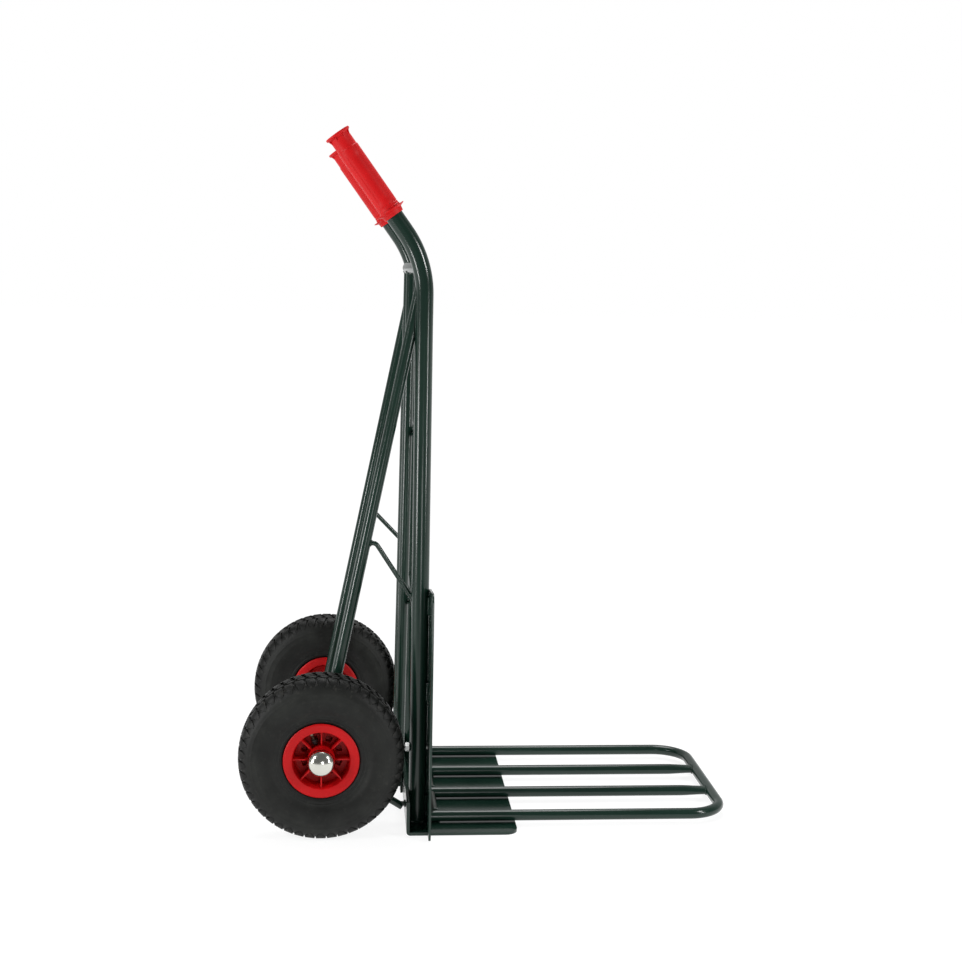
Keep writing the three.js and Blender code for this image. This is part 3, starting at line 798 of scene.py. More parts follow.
def makeGuard(hand, side):
    inner, outer = tubes["mainX"] - tubes["mainRadius"] + 2, guardLook["outer"]
    step = plateLook["half"] + guardLook["gap"]         # it stands on the toe plate and hangs down beside it
    shelf = plateLook["thick"] + guardLook["gap"]
    corners = [(inner, shelf), (step, shelf), (step, 0), (outer, 0), (outer, guardLook["top"]),
               (inner, guardLook["topInner"])]
    radii = [2, 0, 1.2, guardLook["foot"], guardLook["corner"], 3]
    line = roundedLine([(x, z, 0) for x, z in corners], radii, 6, True)
    made = slab([(p.x, p.y) for p in line], guardLook["thick"], 0.8)
    rear = axleY + guardLook["rear"] * mm
    made.transform(Matrix(((side, 0, 0, 0), (0, 0, -1, rear), (0, 1, 0, 0), (0, 0, 0, 1))))
    shapedPiece("wheelGuard_" + hand, made, enamel, "frame", "green_enamel", "wheel_guard_" + hand)
    for low, high in guardLook["welds"]:
        for edge in (-1, 1):
            x = side * (tubes["mainX"] + edge * guardLook["weldReach"])
            weldSeam(at(x, guardLook["rear"] + 1.2, low), at(x, guardLook["rear"] + 1.2, high), 2.0)


boltLook = {
    "height": 126, "acrossFlats": 13, "head": 4, "nut": 6.5, "radius": 4, "reach": 24, "threads": 14,
    "pitch": 1.24, "threadDepth": 0.42,
}


def hexPrism(thick, chamferBoth):               # a chamfered hexagon along X, from 0 up
    flat = boltLook["acrossFlats"] / 2

    def shape(along, share, angle):
        turn = (angle + math.pi / 6) % (math.pi / 3) - math.pi / 6
        radius = share * flat / math.cos(turn)
        drop = max(0.0, radius - flat * 0.96) * 0.5
        if along > thick - 0.01:
            along -= drop
        elif along < 0.01 and chamferBoth:
            along += drop
        return along, radius

    profile = [(0, share) for share in (0, 0.6, 0.9, 1)]
    profile += [(thick, share) for share in (1, 0.93, 0.86, 0.5, 0)]
    return lathe(profile, 48, False, shape)


def makeBolt(hand, side):
    x = side * tubes["mainX"]
    radius, front = boltLook["radius"], guardLook["rear"] - guardLook["thick"] - 0.2
    quarter = Matrix.Rotation(math.pi / 2, 4, "Z")
    towardsFront = Matrix.Translation(at(x, front, boltLook["height"])) @ quarter.inverted()
    head = hexPrism(boltLook["head"], False)
    head.transform(towardsFront)
    end = front - tubes["mainY"] - boltLook["reach"]
    thread = []
    for k in range(boltLook["threads"]):        # the threads stand as fine rings near the bolt's end
        along = end + 1.2 + k * boltLook["pitch"]
        thread += [(along, radius), (along + boltLook["pitch"] / 2, radius - boltLook["threadDepth"])]
    plain = [(-8, radius), (0.5, radius), (0.5, 0)]
    shank = lathe([(end, 0), (end, radius - 0.9)] + thread + plain, 24, False)
    shank.transform(towardsFront)
    bolt = joinMeshes([finishMesh(head, zinc, 30), finishMesh(shank, zinc, 30)])
    newPiece("guardBolt_" + hand, bolt, "frame", "zinc", "guard_bolt_" + hand)
    nut = hexPrism(boltLook["nut"], True)
    behind = at(x, tubes["mainY"] + tubes["mainRadius"] + 0.2, boltLook["height"])
    nut.transform(Matrix.Translation(behind) @ quarter)
    shapedPiece("guardNut_" + hand, nut, zinc, "frame", "zinc", "guard_nut_" + hand, 30)


makeToePlate()
makeAxle()
for hand, side in hands:
    makeMainTube(hand, side)
    makeUpright(hand, side)
    makeBrace(hand, side)
    makeStrut(hand, side)
    makeStay(hand, side)
    makeGuard(hand, side)
    makeBolt(hand, side)
for level in ("top", "middle", "lower"):
    makeCrossbar(level + "_crossbar", level + "Crossbar")
print("frame made")


# Hand grips

gripLook = {
    "start": 82, "length": 151, "bore": 14.2, "body": 17.4, "waist": 16.4, "lip": 24.3, "endLip": 20.7,
    "tip": 27, "panelWidth": 0.62, "panelDepth": 0.9, "ridges": 14, "ridgeHeight": 0.22,
    "webs": 8, "webThick": 1.4, "sides": 112,
}


def gripRadius(along, radius, angle):           # the two flat panels, and fine ridges between them
    neck = gripLook["length"] - gripLook["tip"]
    fromSide = min(abs(math.sin(angle / 2)), abs(math.cos(angle / 2)))      # 0 on the left and right sides
    offSide = 2 * math.asin(min(1, fromSide))
    if gripLook["waist"] + 0.2 < radius < gripLook["body"] + 0.9 and 14 < along < neck - 1:
        inPanel = 1 / (1 + math.exp((offSide - gripLook["panelWidth"]) * 34))
        ends = min(1, max(0, (along - 24) / 5)) * min(1, max(0, (neck - 12 - along) / 5))
        radius -= gripLook["panelDepth"] * inPanel * ends
        if offSide > gripLook["panelWidth"] + 0.16 and 20 < along < neck - 6:
            radius -= gripLook["ridgeHeight"] * (0.5 + 0.5 * math.cos(angle * gripLook["ridges"] * 2))
    return along, radius


def makeGrip(hand, side):
    length, body, waist, bore = gripLook["length"], gripLook["body"], gripLook["waist"], gripLook["bore"]
    lip, endLip, neck = gripLook["lip"], gripLook["endLip"], gripLook["length"] - gripLook["tip"]
    corners = [(length - 6, 0), (length - 6, bore), (0.3, bore), (0.3, waist), (5, body - 0.2),
               (7.4, body + 0.4), (10, lip), (11.3, lip), (10.6, body + 0.8), (13.5, body + 0.7),
               (14.2, body), (17.6, body), (18.2, body - 0.55), (19.4, body - 0.55), (20, body)]
    corners += [(20 + k * (neck - 22) / 34, body) for k in range(1, 35)]
    corners += [(neck, waist), (length - 6, waist), (length - 3.2, endLip), (length - 0.2, endLip),
                (length, endLip - 4), (length - 1.2, endLip - 6), (length - 0.9, 0)]
    made = lathe(profileOf(corners, 0.5, 2), gripLook["sides"], False, gripRadius)
    # the lathe's X runs up the handle and its angle 0 points to the side
    turn = Matrix.Rotation(math.pi / 2 - handleTilt, 4, "X") @ Matrix.Rotation(math.pi / 2, 4, "Z")
    place = Matrix.Translation(handlePoint(side * tubes["mainX"], gripLook["start"])) @ turn
    made.transform(place)
    meshes = [finishMesh(made, gripPlastic, 34)]
    onFlange = Matrix(((0, 1, 0, (length - 4.6) * mm), (1, 0, 0, 0), (0, 0, 1, 0), (0, 0, 0, 1)))
    for k in range(gripLook["webs"]):           # small gussets under the end flange
        outline = [(waist - 0.6, 0), (waist + 2.9, 0), (waist - 0.6, -9)]
        web = slab(outline, gripLook["webThick"], 0.25)
        web.transform(Matrix.Translation(-upwards * gripLook["webThick"] / 2 * mm))
        spin = Matrix.Rotation(math.tau * (k + 0.5) / gripLook["webs"], 4, "X")
        web.transform(place @ spin @ onFlange)
        meshes.append(finishMesh(web, gripPlastic))
    newPiece("grip_" + hand, joinMeshes(meshes), "frame", "red_plastic", "grip_" + hand)


for hand, side in hands:
    makeGrip(hand, side)
print("grips made")


# Wheels: made about the axle's middle, with X outwards, then set in place

wheelPlane = 210


def wheelPlace(side):
    turned = Matrix.Identity(4) if side > 0 else Matrix.Rotation(math.pi, 4, "Z")
    return Matrix.Translation(at(side * wheelPlane, 0, axleHeight)) @ turned


tyreLook = {
    "carcass": [(0, 126.8), (12, 126.5), (22, 125.2), (29, 121.4), (34.8, 113.5), (38.2, 102), (38.9, 92),
                (37.2, 82), (33.6, 74), (32.2, 68.5), (32.0, 63.4), (30.2, 60.6), (28.6, 58.5), (28.3, 53)],
    "inside": [(22, 53), (22.5, 60), (33, 78), (33, 102), (20, 117), (0, 120)],
    "rings": [(108.5, 0.5, 0.8), (100.5, 0.35, 0.6), (98.6, 0.35, 0.6), (70.5, 0.5, 0.9), (65.0, 0.7, 1.0)],
    "segments": 144, "blocks": 46, "blockHeight": 3.0, "unevenness": 0.006, "pitchRadius": 128,
    "fadeFrom": 24, "fadeOver": 12.5, "fade": 0.85,
    # rows of each kind of block: place over the tread in mm, then from and to as shares of the pitch
    "shoulder": [(16.5, 0.04, 0.84), (21, 0.05, 0.90), (24.5, 0.10, 0.96), (29, 0.18, 0.90), (33, 0.30, 0.78),
                 (36.5, 0.40, 0.64)],
    "between": [(5.5, 0.06, 0.72), (9.5, 0.20, 0.90), (13.6, 0.10, 0.78)],
    "centre": [(-3.4, 0.12, 0.84), (0, 0.02, 0.74), (3.4, 0.12, 0.84)],
}


def smoothCurve(points, steps):                 # an even curve through all the points
    made = []
    count = len(points)
    for k in range(count - 1):
        p0, p1, p2, p3 = (points[max(0, min(count - 1, k + d))] for d in (-1, 0, 1, 2))
        for step in range(steps):
            s = step / steps
            spot = []
            for a, b, c, d in zip(p0, p1, p2, p3):
                square, cube = 2 * a - 5 * b + 4 * c - d, 3 * b - a - 3 * c + d
                spot.append(0.5 * (2 * b + (c - a) * s + square * s * s + cube * s ** 3))
            made.append(tuple(spot))
    return made + [tuple(points[-1])]


carcassHalf = smoothCurve(tyreLook["carcass"], 10)
carcassRun = [0.0]
for before, after in zip(carcassHalf, carcassHalf[1:]):
    carcassRun.append(carcassRun[-1] + math.dist(before, after))


def onCarcass(run, height):                     # run is measured over the tread from its middle
    side = math.copysign(1, run)
    run = abs(run)
    k = min(len(carcassRun) - 2, max(0, sum(1 for r in carcassRun[1:] if r < run)))
    share = (run - carcassRun[k]) / (carcassRun[k + 1] - carcassRun[k])
    a, b = carcassHalf[k], carcassHalf[k + 1]
    along, radius = a[0] + (b[0] - a[0]) * share, a[1] + (b[1] - a[1]) * share
    length = math.dist(a, b)
    out = ((a[1] - b[1]) / length, (b[0] - a[0]) / length)
    return side * (along + out[0] * height), radius + out[1] * height


def treadBlock(lines):                          # lines: rows of (run, from, to) round the tread, in mm
    made = bmesh.new()
    height = tyreLook["blockHeight"]

    def spot(run, around, lift):
        along, radius = onCarcass(run, lift)
        angle = around / tyreLook["pitchRadius"]
        return made.verts.new((along * mm, radius * mm * math.sin(angle), radius * mm * math.cos(angle)))

    rings = []
    for lift, shrink in ((-1.2, -0.4), (height - 0.8, 0.25), (height - 0.2, 0.5), (height, 1.0)):
        forward, back = [], []
        for k, (run, low, high) in enumerate(lines):
            end = shrink if k == 0 else (-shrink if k == len(lines) - 1 else 0)
            outer = max(0, (abs(run) - tyreLook["fadeFrom"]) / tyreLook["fadeOver"])
            rise = lift if lift < 0 else lift * (1 - tyreLook["fade"] * outer)
            forward.append(spot(run + end, low + shrink, rise))
            back.append(spot(run + end, high - shrink, rise))
        rings.append(forward + back[::-1])
    for low, high in zip(rings, rings[1:]):
        for k in range(len(low)):
            n = (k + 1) % len(low)
            made.faces.new((low[k], low[n], high[n], high[k]))
    for ring in (rings[0], rings[-1]):
        half = len(ring) // 2
        for k in range(half - 1):
            made.faces.new((ring[k], ring[k + 1], ring[-k - 2], ring[-k - 1]))
    return made


def makeTyre(hand, side):
    half = []
    for along, radius in carcassHalf:
        for ring, height, width in tyreLook["rings"]:
            if radius < 118:
                along += height * math.exp(-((radius - ring) / width) ** 2)
        half.append((along, radius))
    half += tyreLook["inside"]
    whole = half + [(-a, r) for a, r in half[::-1] if a > 1e-6]
    place = wheelPlace(side)
    carcass = lathe(whole, tyreLook["segments"], True)
    carcass.transform(place)
    meshes = [finishMesh(carcass, tyreRubber, 32)]
    pitch = math.tau * tyreLook["pitchRadius"] / tyreLook["blocks"]
    kinds = []                                  # each: side of the tread, rows, shift round it as a share
    for edge in (-1, 1):
        kinds.append((edge, tyreLook["shoulder"], 0.25 * (1 + edge)))
        kinds.append((edge, tyreLook["between"], 0.3 * edge))
    kinds.append((1, tyreLook["centre"], 0.5))
    for edge, rows, shift in kinds:
        block = treadBlock([(edge * run, low * pitch, high * pitch) for run, low, high in rows])
        blocks = grow("blocks", finishMesh(block, tyreRubber), roundTree, {
            "Count": tyreLook["blocks"], "Centre": (0.0, 0.0, 0.0), "Seed": 4, "Finish": tyreRubber,
            "First Angle": shift * pitch / tyreLook["pitchRadius"], "Unevenness": tyreLook["unevenness"]})
        blocks.transform(place)
        meshes.append(blocks)
    newPiece("tyre_" + hand, joinMeshes(meshes), hand + "_wheel", "tyre", "tyre_" + hand)


rimLook = {
    "lip": 59.5, "half": 33, "ringInner": 44.5, "floor": 2.2, "hub": 20.5, "hubHalf": 37.4, "bore": 15.6,
    "ribs": 8, "ribHalf": 24.4, "ribThick": 2.2, "segments": 112, "windowIn": 23.5, "windowOut": 33.5,
    "windowWide": 12.5, "windowFloor": -11.5, "blindFloor": 11,
}


def rimBody():                                  # a turned shape with blind windows cut between the ribs
    half, lip, ringInner = rimLook["half"], rimLook["lip"], rimLook["ringInner"]
    floor, hub = rimLook["floor"], rimLook["hub"]
    front = [(17, 47.5), (20, 50.5), (28.3, 52), (29, 58.4), (half - 1.2, lip), (half, lip - 2.6),
             (half - 1.8, ringInner + 1), (half - 4.4, ringInner), (floor + 1, ringInner - 1.6),
             (floor, ringInner - 4.2), (floor, hub + 2.4), (floor + 2.2, hub + 0.6),
             (rimLook["hubHalf"], hub), (rimLook["hubHalf"], rimLook["bore"])]
    back = [(-a - (rimLook["blindFloor"] if a <= floor else 0), r) for a, r in front[::-1]]
    body = lathe(profileOf(front + back, 0.9, 3, True), rimLook["segments"], True)
    target = bpy.data.objects.new("rimTarget", finishMesh(body, shadedRimPlastic, 34))
    low, high, wide = rimLook["windowIn"], rimLook["windowOut"], rimLook["windowWide"] / 2
    window = roundedLine([(low, -wide * 0.62, 0), (high, -wide, 0), (high, wide, 0), (low, wide * 0.62, 0)],
                         2.2, 4, True)
    outwards = Matrix(((0, 0, 1, rimLook["windowFloor"] * mm), (1, 0, 0, 0), (0, 1, 0, 0), (0, 0, 0, 1)))
    cutters = bmesh.new()                       # turned outwards one by one, and then once more together
    for k in range(rimLook["ribs"]):
        cutter = slab([(p.x, p.y) for p in window], 18, 0.1)
        cutter.transform(Matrix.Rotation(math.tau * (k + 0.5) / rimLook["ribs"], 4, "X") @ outwards)
        mesh = finishMesh(cutter, shadedRimPlastic)
        cutters.from_mesh(mesh)
        bpy.data.meshes.remove(mesh)
    tool = bpy.data.objects.new("rimTool", finishMesh(cutters, shadedRimPlastic))
    for thing in (target, tool):
        scene.collection.objects.link(thing)
    opening = target.modifiers.new("windows", "BOOLEAN")
    opening.operation, opening.solver, opening.object = "DIFFERENCE", "EXACT", tool
    cut = bpy.data.meshes.new_from_object(target.evaluated_get(bpy.context.evaluated_depsgraph_get()))
    for thing in (target, tool):
        mesh = thing.data
        bpy.data.objects.remove(thing)
        bpy.data.meshes.remove(mesh)
    cut.set_sharp_from_angle(angle=math.radians(34))
    return cut


def makeRim(hand, side):
    body = rimBody()
    low, high = rimLook["hub"] - 1, rimLook["ringInner"] + 1
    reach, thick = rimLook["ribHalf"], rimLook["ribThick"]
    corners = [(-reach + 3, low), (-reach, low + 6), (-reach, high - 5), (-reach - 3, high),
               (reach + 3, high), (reach, high - 5), (reach, low + 6), (reach - 3, low)]
    line = roundedLine([(a, b, 0) for a, b in corners], 1.6, 3, True)
    rib = slab([(p.x, p.y) for p in line], thick, 0.55)
    rib.transform(Matrix.Translation(-upwards * thick / 2 * mm))
    ribs = grow("ribs", finishMesh(rib, shadedRimPlastic), roundTree, {
        "Count": rimLook["ribs"], "Centre": (0.0, 0.0, 0.0), "First Angle": 0.0, "Unevenness": 0.0, "Seed": 1,
        "Finish": shadedRimPlastic})
    for mesh in (body, ribs):
        mesh.transform(wheelPlace(side))
    newPiece("rim_" + hand, joinMeshes([body, ribs]), hand + "_wheel", "red_plastic", "rim_" + hand)


valveLook = {"plane": 12, "angle": 67.5, "segments": 28}


def makeValve(hand, side):
    # both valves point to the same pocket, seen from the right-hand side
    angle = math.radians(valveLook["angle"])
    direction = Vector((0, math.cos(angle), math.sin(angle)))
    spin = direction.to_track_quat("X", "Z").to_matrix().to_4x4()
    place = Matrix.Translation(at(side * (wheelPlane + valveLook["plane"]), 0, axleHeight)) @ spin
    stem = [(31.8, 0), (31.8, 2.3), (33.2, 2.6)]
    for k in range(6):
        stem += [(33.4 + k * 0.8, 2.7), (33.8 + k * 0.8, 2.35)]
    stem += [(38.4, 2.6), (38.8, 3.9), (41.6, 3.9), (42.2, 3.0), (62.5, 3.0), (62.5, 0)]
    made = lathe(stem, valveLook["segments"], False)
    made.transform(place)
    shapedPiece("valveStem_" + hand, made, brass, hand + "_wheel", "brass", "valve_stem_" + hand, 30)

    def knurl(along, radius, turn):
        if radius > 3.6 and 24.4 < along < 31.4:
            radius += 0.22 * math.cos(turn * 14)
        return along, radius

    cap = profileOf([(23.2, 0), (23.2, 3.4), (24.4, 4.4), (29.6, 4.6), (31.4, 4.6), (31.6, 0)], 0.5, 3)
    made = lathe(cap, 84, False, knurl)
    made.transform(place)
    shapedPiece("valveCap_" + hand, made, blackPlastic, hand + "_wheel", "black_plastic",
                "valve_cap_" + hand, 40)


capLook = {"base": 250.1, "skirt": 253, "tip": 268, "radius": 21.5, "bore": 10.3, "inside": 262.3}


def makeCap(hand, side):
    tip, skirt, radius, base = capLook["tip"], capLook["skirt"], capLook["radius"], capLook["base"]
    profile = [(capLook["inside"], 0), (capLook["inside"], capLook["bore"]), (base, capLook["bore"]),
               (base, radius - 0.5), (base + 0.5, radius), (skirt - 0.6, radius), (skirt, radius - 0.25)]
    for k in range(1, 24):                      # the dome is a quarter of an ellipse
        angle = math.pi / 2 * k / 24
        profile.append((skirt + (tip - skirt) * math.sin(angle), (radius - 0.25) * math.cos(angle)))
    made = lathe(profile + [(tip, 0)], 96, False)
    turned = Matrix.Identity(4) if side > 0 else Matrix.Rotation(math.pi, 4, "Z")
    made.transform(Matrix.Translation(at(0, 0, axleHeight)) @ turned)
    shapedPiece("domeCap_" + hand, made, chrome, "frame", "chrome", "dome_cap_" + hand, 34)


washerLook = {"bore": 10.3, "radius": 16, "edge": 0.4}


def makeWashers(hand):
    bore, radius = washerLook["bore"], washerLook["radius"]
    for word in ("inner", "outer"):
        node = word + "_washer_" + hand
        low, high = (corner.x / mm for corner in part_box(node))
        outline = [(low, bore), (low, radius), (high, radius), (high, bore)]
        made = lathe(profileOf(outline, washerLook["edge"], 2, True), 56, True)
        made.transform(Matrix.Translation(at(0, 0, axleHeight)))
        shapedPiece(word + "Washer_" + hand, made, zinc, "frame", "zinc", node)


for hand, side in hands:
    makeTyre(hand, side)
    makeRim(hand, side)
    makeValve(hand, side)
    makeCap(hand, side)
    makeWashers(hand)
    for node in ("inner_tube_", "inner_bearing_", "outer_bearing_"):
        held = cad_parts[node + hand]
        held.data.materials.clear()
        held.data.materials.append(butyl if node == "inner_tube_" else blackPlastic)
print("wheels made")


# The fold-down platform

platformLook = {
    "half": 172.3, "innerX": 57.4, "front": -666.5, "bend": 58, "radius": 8.8, "pivotY": -182, "pivotZ": 15.5,
    "rodRadius": 5, "rodHalf": 176, "flatLength": 44, "flatHeight": 0.77, "flatSpread": 0.8, "sides": 40,
}


def tubeShape(path, flattenFrom=None):
    made = bmesh.new()
    sides, radius = platformLook["sides"], platformLook["radius"] * mm
    pivot = at(0, platformLook["pivotY"], platformLook["pivotZ"])
    rings = []
    for k, point in enumerate(path):
        before, after = path[max(0, k - 1)], path[min(len(path) - 1, k + 1)]
        along = (after - before).normalized()
        across = along.cross(upwards).normalized()
        squeeze = 0.0
        if flattenFrom is not None:
            squeeze = min(1.0, max(0.0, (flattenFrom - point.y) / (platformLook["flatLength"] * mm)))
            squeeze = squeeze * squeeze * (3 - 2 * squeeze) * (1 - platformLook["flatHeight"])
        ring = []
        for n in range(sides):
            angle = math.tau * n / sides
            wide, tall = 1 + squeeze * platformLook["flatSpread"], 1 - squeeze
            spot = across * math.cos(angle) * wide + upwards * math.sin(angle) * tall
            ring.append(made.verts.new(point + spot * radius))
        rings.append(ring)
    for low, high in zip(rings, rings[1:]):
        for n in range(sides):
            m = (n + 1) % sides
            made.faces.new((low[n], low[m], high[m], high[n]))
    for ring in (rings[0], rings[-1]):          # a cap of level strips, so that it can be rounded
        quarter = sides // 4
        for n in range(quarter):
            low = [ring[n], ring[n + 1], ring[(sides // 2 - n - 1)], ring[sides // 2 - n]]
            made.faces.new(low if n < quarter - 1 else low[:2] + low[3:])
            low = [ring[-n % sides], ring[-n - 1], ring[sides // 2 + n + 1], ring[sides // 2 + n]]
            made.faces.new(low if n < quarter - 1 else low[:2] + low[3:])
    mesh = finishMesh(made, enamel, 50)
    for vertex in mesh.vertices:                # its rear end is rounded about the hinge rod
        if vertex.co.y > pivot.y - 1e-5:
            lift = min(radius, abs(vertex.co.z - pivot.z))
            vertex.co.y = pivot.y + math.sqrt(radius * radius - lift * lift)
    return mesh


def makePlatform():
    half, radius = platformLook["half"], platformLook["radius"]
    front = platformLook["front"] + radius
    pivotY, pivotZ = platformLook["pivotY"], platformLook["pivotZ"]
    corners = [at(-half, pivotY, pivotZ), at(-half, front, pivotZ), at(half, front, pivotZ),
               at(half, pivotY, pivotZ)]
    mesh = tubeShape(roundedLine(corners, platformLook["bend"] * mm, 20))
    newPiece("platformFrame", mesh, "platform", "green_enamel", "platform_frame")
    for hand, side in hands:
        x = side * platformLook["innerX"]
        start, end = at(x, pivotY, pivotZ), at(x, front + 2, pivotZ)
        flattenFrom = at(0, front + radius + platformLook["flatLength"], 0).y
        path = [start, start.lerp(end, 0.4)] + [start.lerp(end, 0.86 + 0.01 * k) for k in range(15)]
        mesh = tubeShape(path, flattenFrom)
        newPiece("platformTube_" + hand, mesh, "platform", "green_enamel", "platform_tube_" + hand)
        ring = []                               # where its flattened end meets the front bar
        for k in range(44):
            angle = math.tau * k / 44
            z = math.sin(angle) * radius * platformLook["flatHeight"]
            reach = math.sqrt(max(0, (radius + 0.1) ** 2 - z * z))
            ring.append(at(x + math.cos(angle) * radius * 1.18, front + reach, pivotZ + z))
        weldRing(ring, 1.5, "platform")
        for kind in ("outer", "inner"):
            makeLug(hand, kind)
    half, radius = platformLook["rodHalf"], platformLook["rodRadius"]
    rod = lathe(profileOf([(-half, 0), (-half, radius), (half, radius), (half, 0)], 0.6, 3), 32, False)
    rod.transform(Matrix.Translation(at(0, pivotY, pivotZ)))
    # the hinge rod gets the darkened zinc: painted shade
    shapedPiece("hingeRod", rod, shadedZinc, "platform", "zinc", "hinge_rod")


def makeLug(hand, kind):                        # an arch over the rod, welded to the toe plate
    node = "hinge_lug_" + kind + "_" + hand
    low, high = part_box(node)
    reach, foot = platformLook["radius"], plateLook["thick"] + 0.2
    pivotY, pivotZ = platformLook["pivotY"], platformLook["pivotZ"]
    turns = [math.radians(degrees) for degrees in range(0, 181, 9)]
    arch = [(pivotY + reach * math.cos(turn), pivotZ + reach * math.sin(turn)) for turn in turns]
    outline = [(pivotY + reach, foot)] + arch + [(pivotY - reach, foot)]
    made = slab(outline, (high.x - low.x) / mm, 0.5)
    made.transform(Matrix(((0, 0, 1, low.x), (1, 0, 0, axleY), (0, 1, 0, 0), (0, 0, 0, 1))))
    shapedPiece("hingeLug_" + kind + "_" + hand, made, enamel, "frame", "green_enamel", node)
    for x in (low.x / mm, high.x / mm):
        weldSeam(at(x, pivotY - reach + 1, foot + 0.2), at(x, pivotY + reach - 1, foot + 0.2), 1.2)


makePlatform()
print("platform made")


# Weld beads

weldLook = {"ripple": 0.13, "pitch": 1.9, "wander": 0.5, "spacing": 0.55, "sides": 10, "seed": 3.0}


def evenPoints(points, closed, spacing):        # the same line with evenly spaced points
    loop = list(points) + ([points[0]] if closed else [])
    run = [0.0]
    for a, b in zip(loop, loop[1:]):
        run.append(run[-1] + (b - a).length)
    count = max(6, round(run[-1] / spacing))
    made, k = [], 0
    for n in range(count if closed else count + 1):
        want = run[-1] * n / count
        while k < len(run) - 2 and run[k + 1] < want:
            k += 1
        step = run[k + 1] - run[k]
        made.append(loop[k].lerp(loop[k + 1], (want - run[k]) / step if step > 0 else 0))
    return made


def makeWelds(body):
    meshes = []
    for radius in sorted({r for _, _, r in weldLines[body]}):
        lines = [(evenPoints(points, closed, weldLook["spacing"] * mm), closed)
                 for points, closed, r in weldLines[body] if r == radius]
        grown = grow("beads", lineMesh("beads", lines), sweepTree, {
            "Radius": radius * mm, "Sides": weldLook["sides"], "Ripple": weldLook["ripple"],
            "Ripple Pitch": weldLook["pitch"] * mm, "Wander": weldLook["wander"], "Seed": weldLook["seed"],
            "Finish": enamel})
        meshes.append(grown)
    newPiece(body + "Welds", joinMeshes(meshes), body, "green_enamel")


makeWelds("frame")
makeWelds("platform")
print("welds made")


# Floor, light and camera

studio = {
    "floor": colour(132, 132, 132), "worn": colour(124, 124, 124), "size": 30, "clearFrom": 0.9,
    "near": 0.86, "far": 1.05, "inFront": 0.3,          # how the floor glows, from place to place
    "behind": 0.55, "around": 0.15,                     # the room, as reflections see it
}


def makeFloor():                                # pale by itself, so that the shadow stays faint
    finish, board, place = newFinish("paleFloor")
    drift = board.noise(place, 1.6, 3)
    distance = board.put("ShaderNodeVectorMath", {"operation": "LENGTH"}, {0: place}, "Value")
    across = board.put("ShaderNodeSeparateXYZ", {}, {"Vector": place}, "X")
    seen = board.put("ShaderNodeLightPath", {}, {}, "Is Camera Ray")
    front = board.clamp((-1.0 - across) * 1.4) * (1.0 - seen)       # reflections see a darker room in front
    far = board.clamp((distance - studio["clearFrom"]) * 0.9)
    paint = board.mix(drift * 0.25, studio["floor"], studio["worn"])
    shade = board.mix(board.clamp(far + front), paint, greyOf(0))
    glow = board.mix(far, greyOf(studio["near"]), greyOf(studio["far"]))
    glow = board.mix(front, glow, greyOf(studio["inFront"]))
    closeFinish(board, {"Specular IOR Level": 0.0, "Emission Strength": 1.0},
                {"Base Color": shade, "Emission Color": glow, "Roughness": 0.7},
                board.noise(place, 300, 2), 0.00002)
    made = bmesh.new()
    bmesh.ops.create_grid(made, x_segments=8, y_segments=8, size=studio["size"])
    made.transform(Matrix.Translation((0, 0, -0.0005)))
    floor = bpy.data.objects.new("studioFloor", finishMesh(made, finish))
    scene.collection.objects.link(floor)
    floor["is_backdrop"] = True


def makeWorld():
    world = bpy.data.worlds.new("studio")
    scene.world = world
    world.use_nodes = True
    world.node_tree.nodes.clear()
    board = Board(world.node_tree)
    seen = board.put("ShaderNodeLightPath", {}, {}, "Is Camera Ray")
    towards = board.put("ShaderNodeTexCoord", {}, {}, "Generated")
    across = board.put("ShaderNodeSeparateXYZ", {}, {"Vector": towards}, "X")
    around, behind = studio["around"], studio["behind"]
    room = board.ramp(across * 0.5 + 0.5, [(0.3, around), (0.5, around * 1.6), (0.72, behind), (1.0, behind)])
    tone = board.mix(seen, room, greyOf(1.0))
    back = board.put("ShaderNodeBackground", {}, {"Color": tone, "Strength": 1.0})
    board.put("ShaderNodeOutputWorld", {}, {"Surface": back})


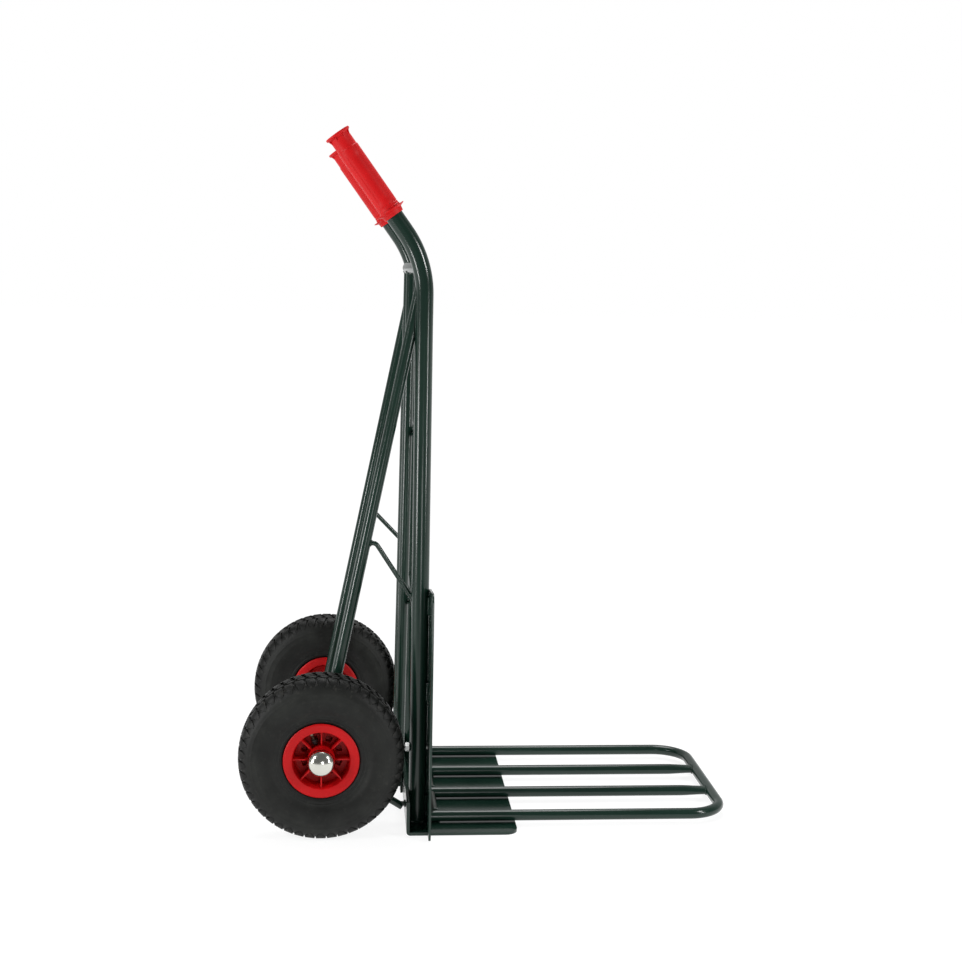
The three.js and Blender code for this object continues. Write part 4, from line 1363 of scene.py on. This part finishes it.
aim = (0, 0, 0.6)
softboxes = {                                   # place, what it points at, width, height, watts
    "leftLow": ((-1.0, 1.75, 0.4), aim, 0.3, 0.5, 10),
    "rightLow": ((-1.5, -1.7, 0.5), aim, 0.16, 0.5, 8),
    "leftHigh": ((-1.2, 1.9, 1.5), aim, 0.3, 0.5, 18),
    "rightHigh": ((-1.3, -1.6, 1.5), aim, 0.3, 0.5, 18),
    "centreLow": ((-2.0, -0.02, 0.2), (0, -0.15, 0.45), 0.34, 0.32, 2.2),
    "overhead": ((0.9, -0.1, 3.1), aim, 1.4, 2.0, 50),
}


def addSoftbox(name, place, target, wide, high, power):
    light = bpy.data.lights.new(name, "AREA")
    light.shape, light.size, light.size_y, light.energy = "RECTANGLE", wide, high, power
    lamp = bpy.data.objects.new(name, light)
    place, target = Vector(place), Vector(target)
    turn = (place - target).to_track_quat("Z", "Y").to_matrix().to_4x4()
    lamp.matrix_world = Matrix.Translation(place) @ turn
    scene.collection.objects.link(lamp)


cameraLook = {                                  # place in mm, angles in degrees
    "place": (-2595.27, -40.821, 884.693), "heading": -94.8321, "tilt": 82.4074, "roll": 1.1223,
    "lens": 58.49, "sensor": 36, "clipEnd": 60,
}


def makeCamera():
    data = bpy.data.cameras.new("studioCamera")
    data.sensor_width, data.lens = cameraLook["sensor"], cameraLook["lens"]
    data.clip_end = cameraLook["clipEnd"]
    camera = bpy.data.objects.new("studioCamera", data)
    turn = Matrix.Identity(4)
    for name, axis in (("heading", "Z"), ("tilt", "X"), ("roll", "Z")):
        turn = turn @ Matrix.Rotation(math.radians(cameraLook[name]), 4, axis)
    camera.matrix_world = Matrix.Translation(at(*cameraLook["place"])) @ turn
    scene.collection.objects.link(camera)
    scene.camera = camera


makeFloor()
makeWorld()
makeCamera()
for name, (place, target, wide, high, power) in softboxes.items():
    addSoftbox(name, place, target, wide, high, power)
scene.view_settings.view_transform = "Standard"
print("studio made")

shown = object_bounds()
for label, box in (("cad box", cadBox), ("visual box", shown)):
    print(label, [round(c, 4) for v in box for c in v])
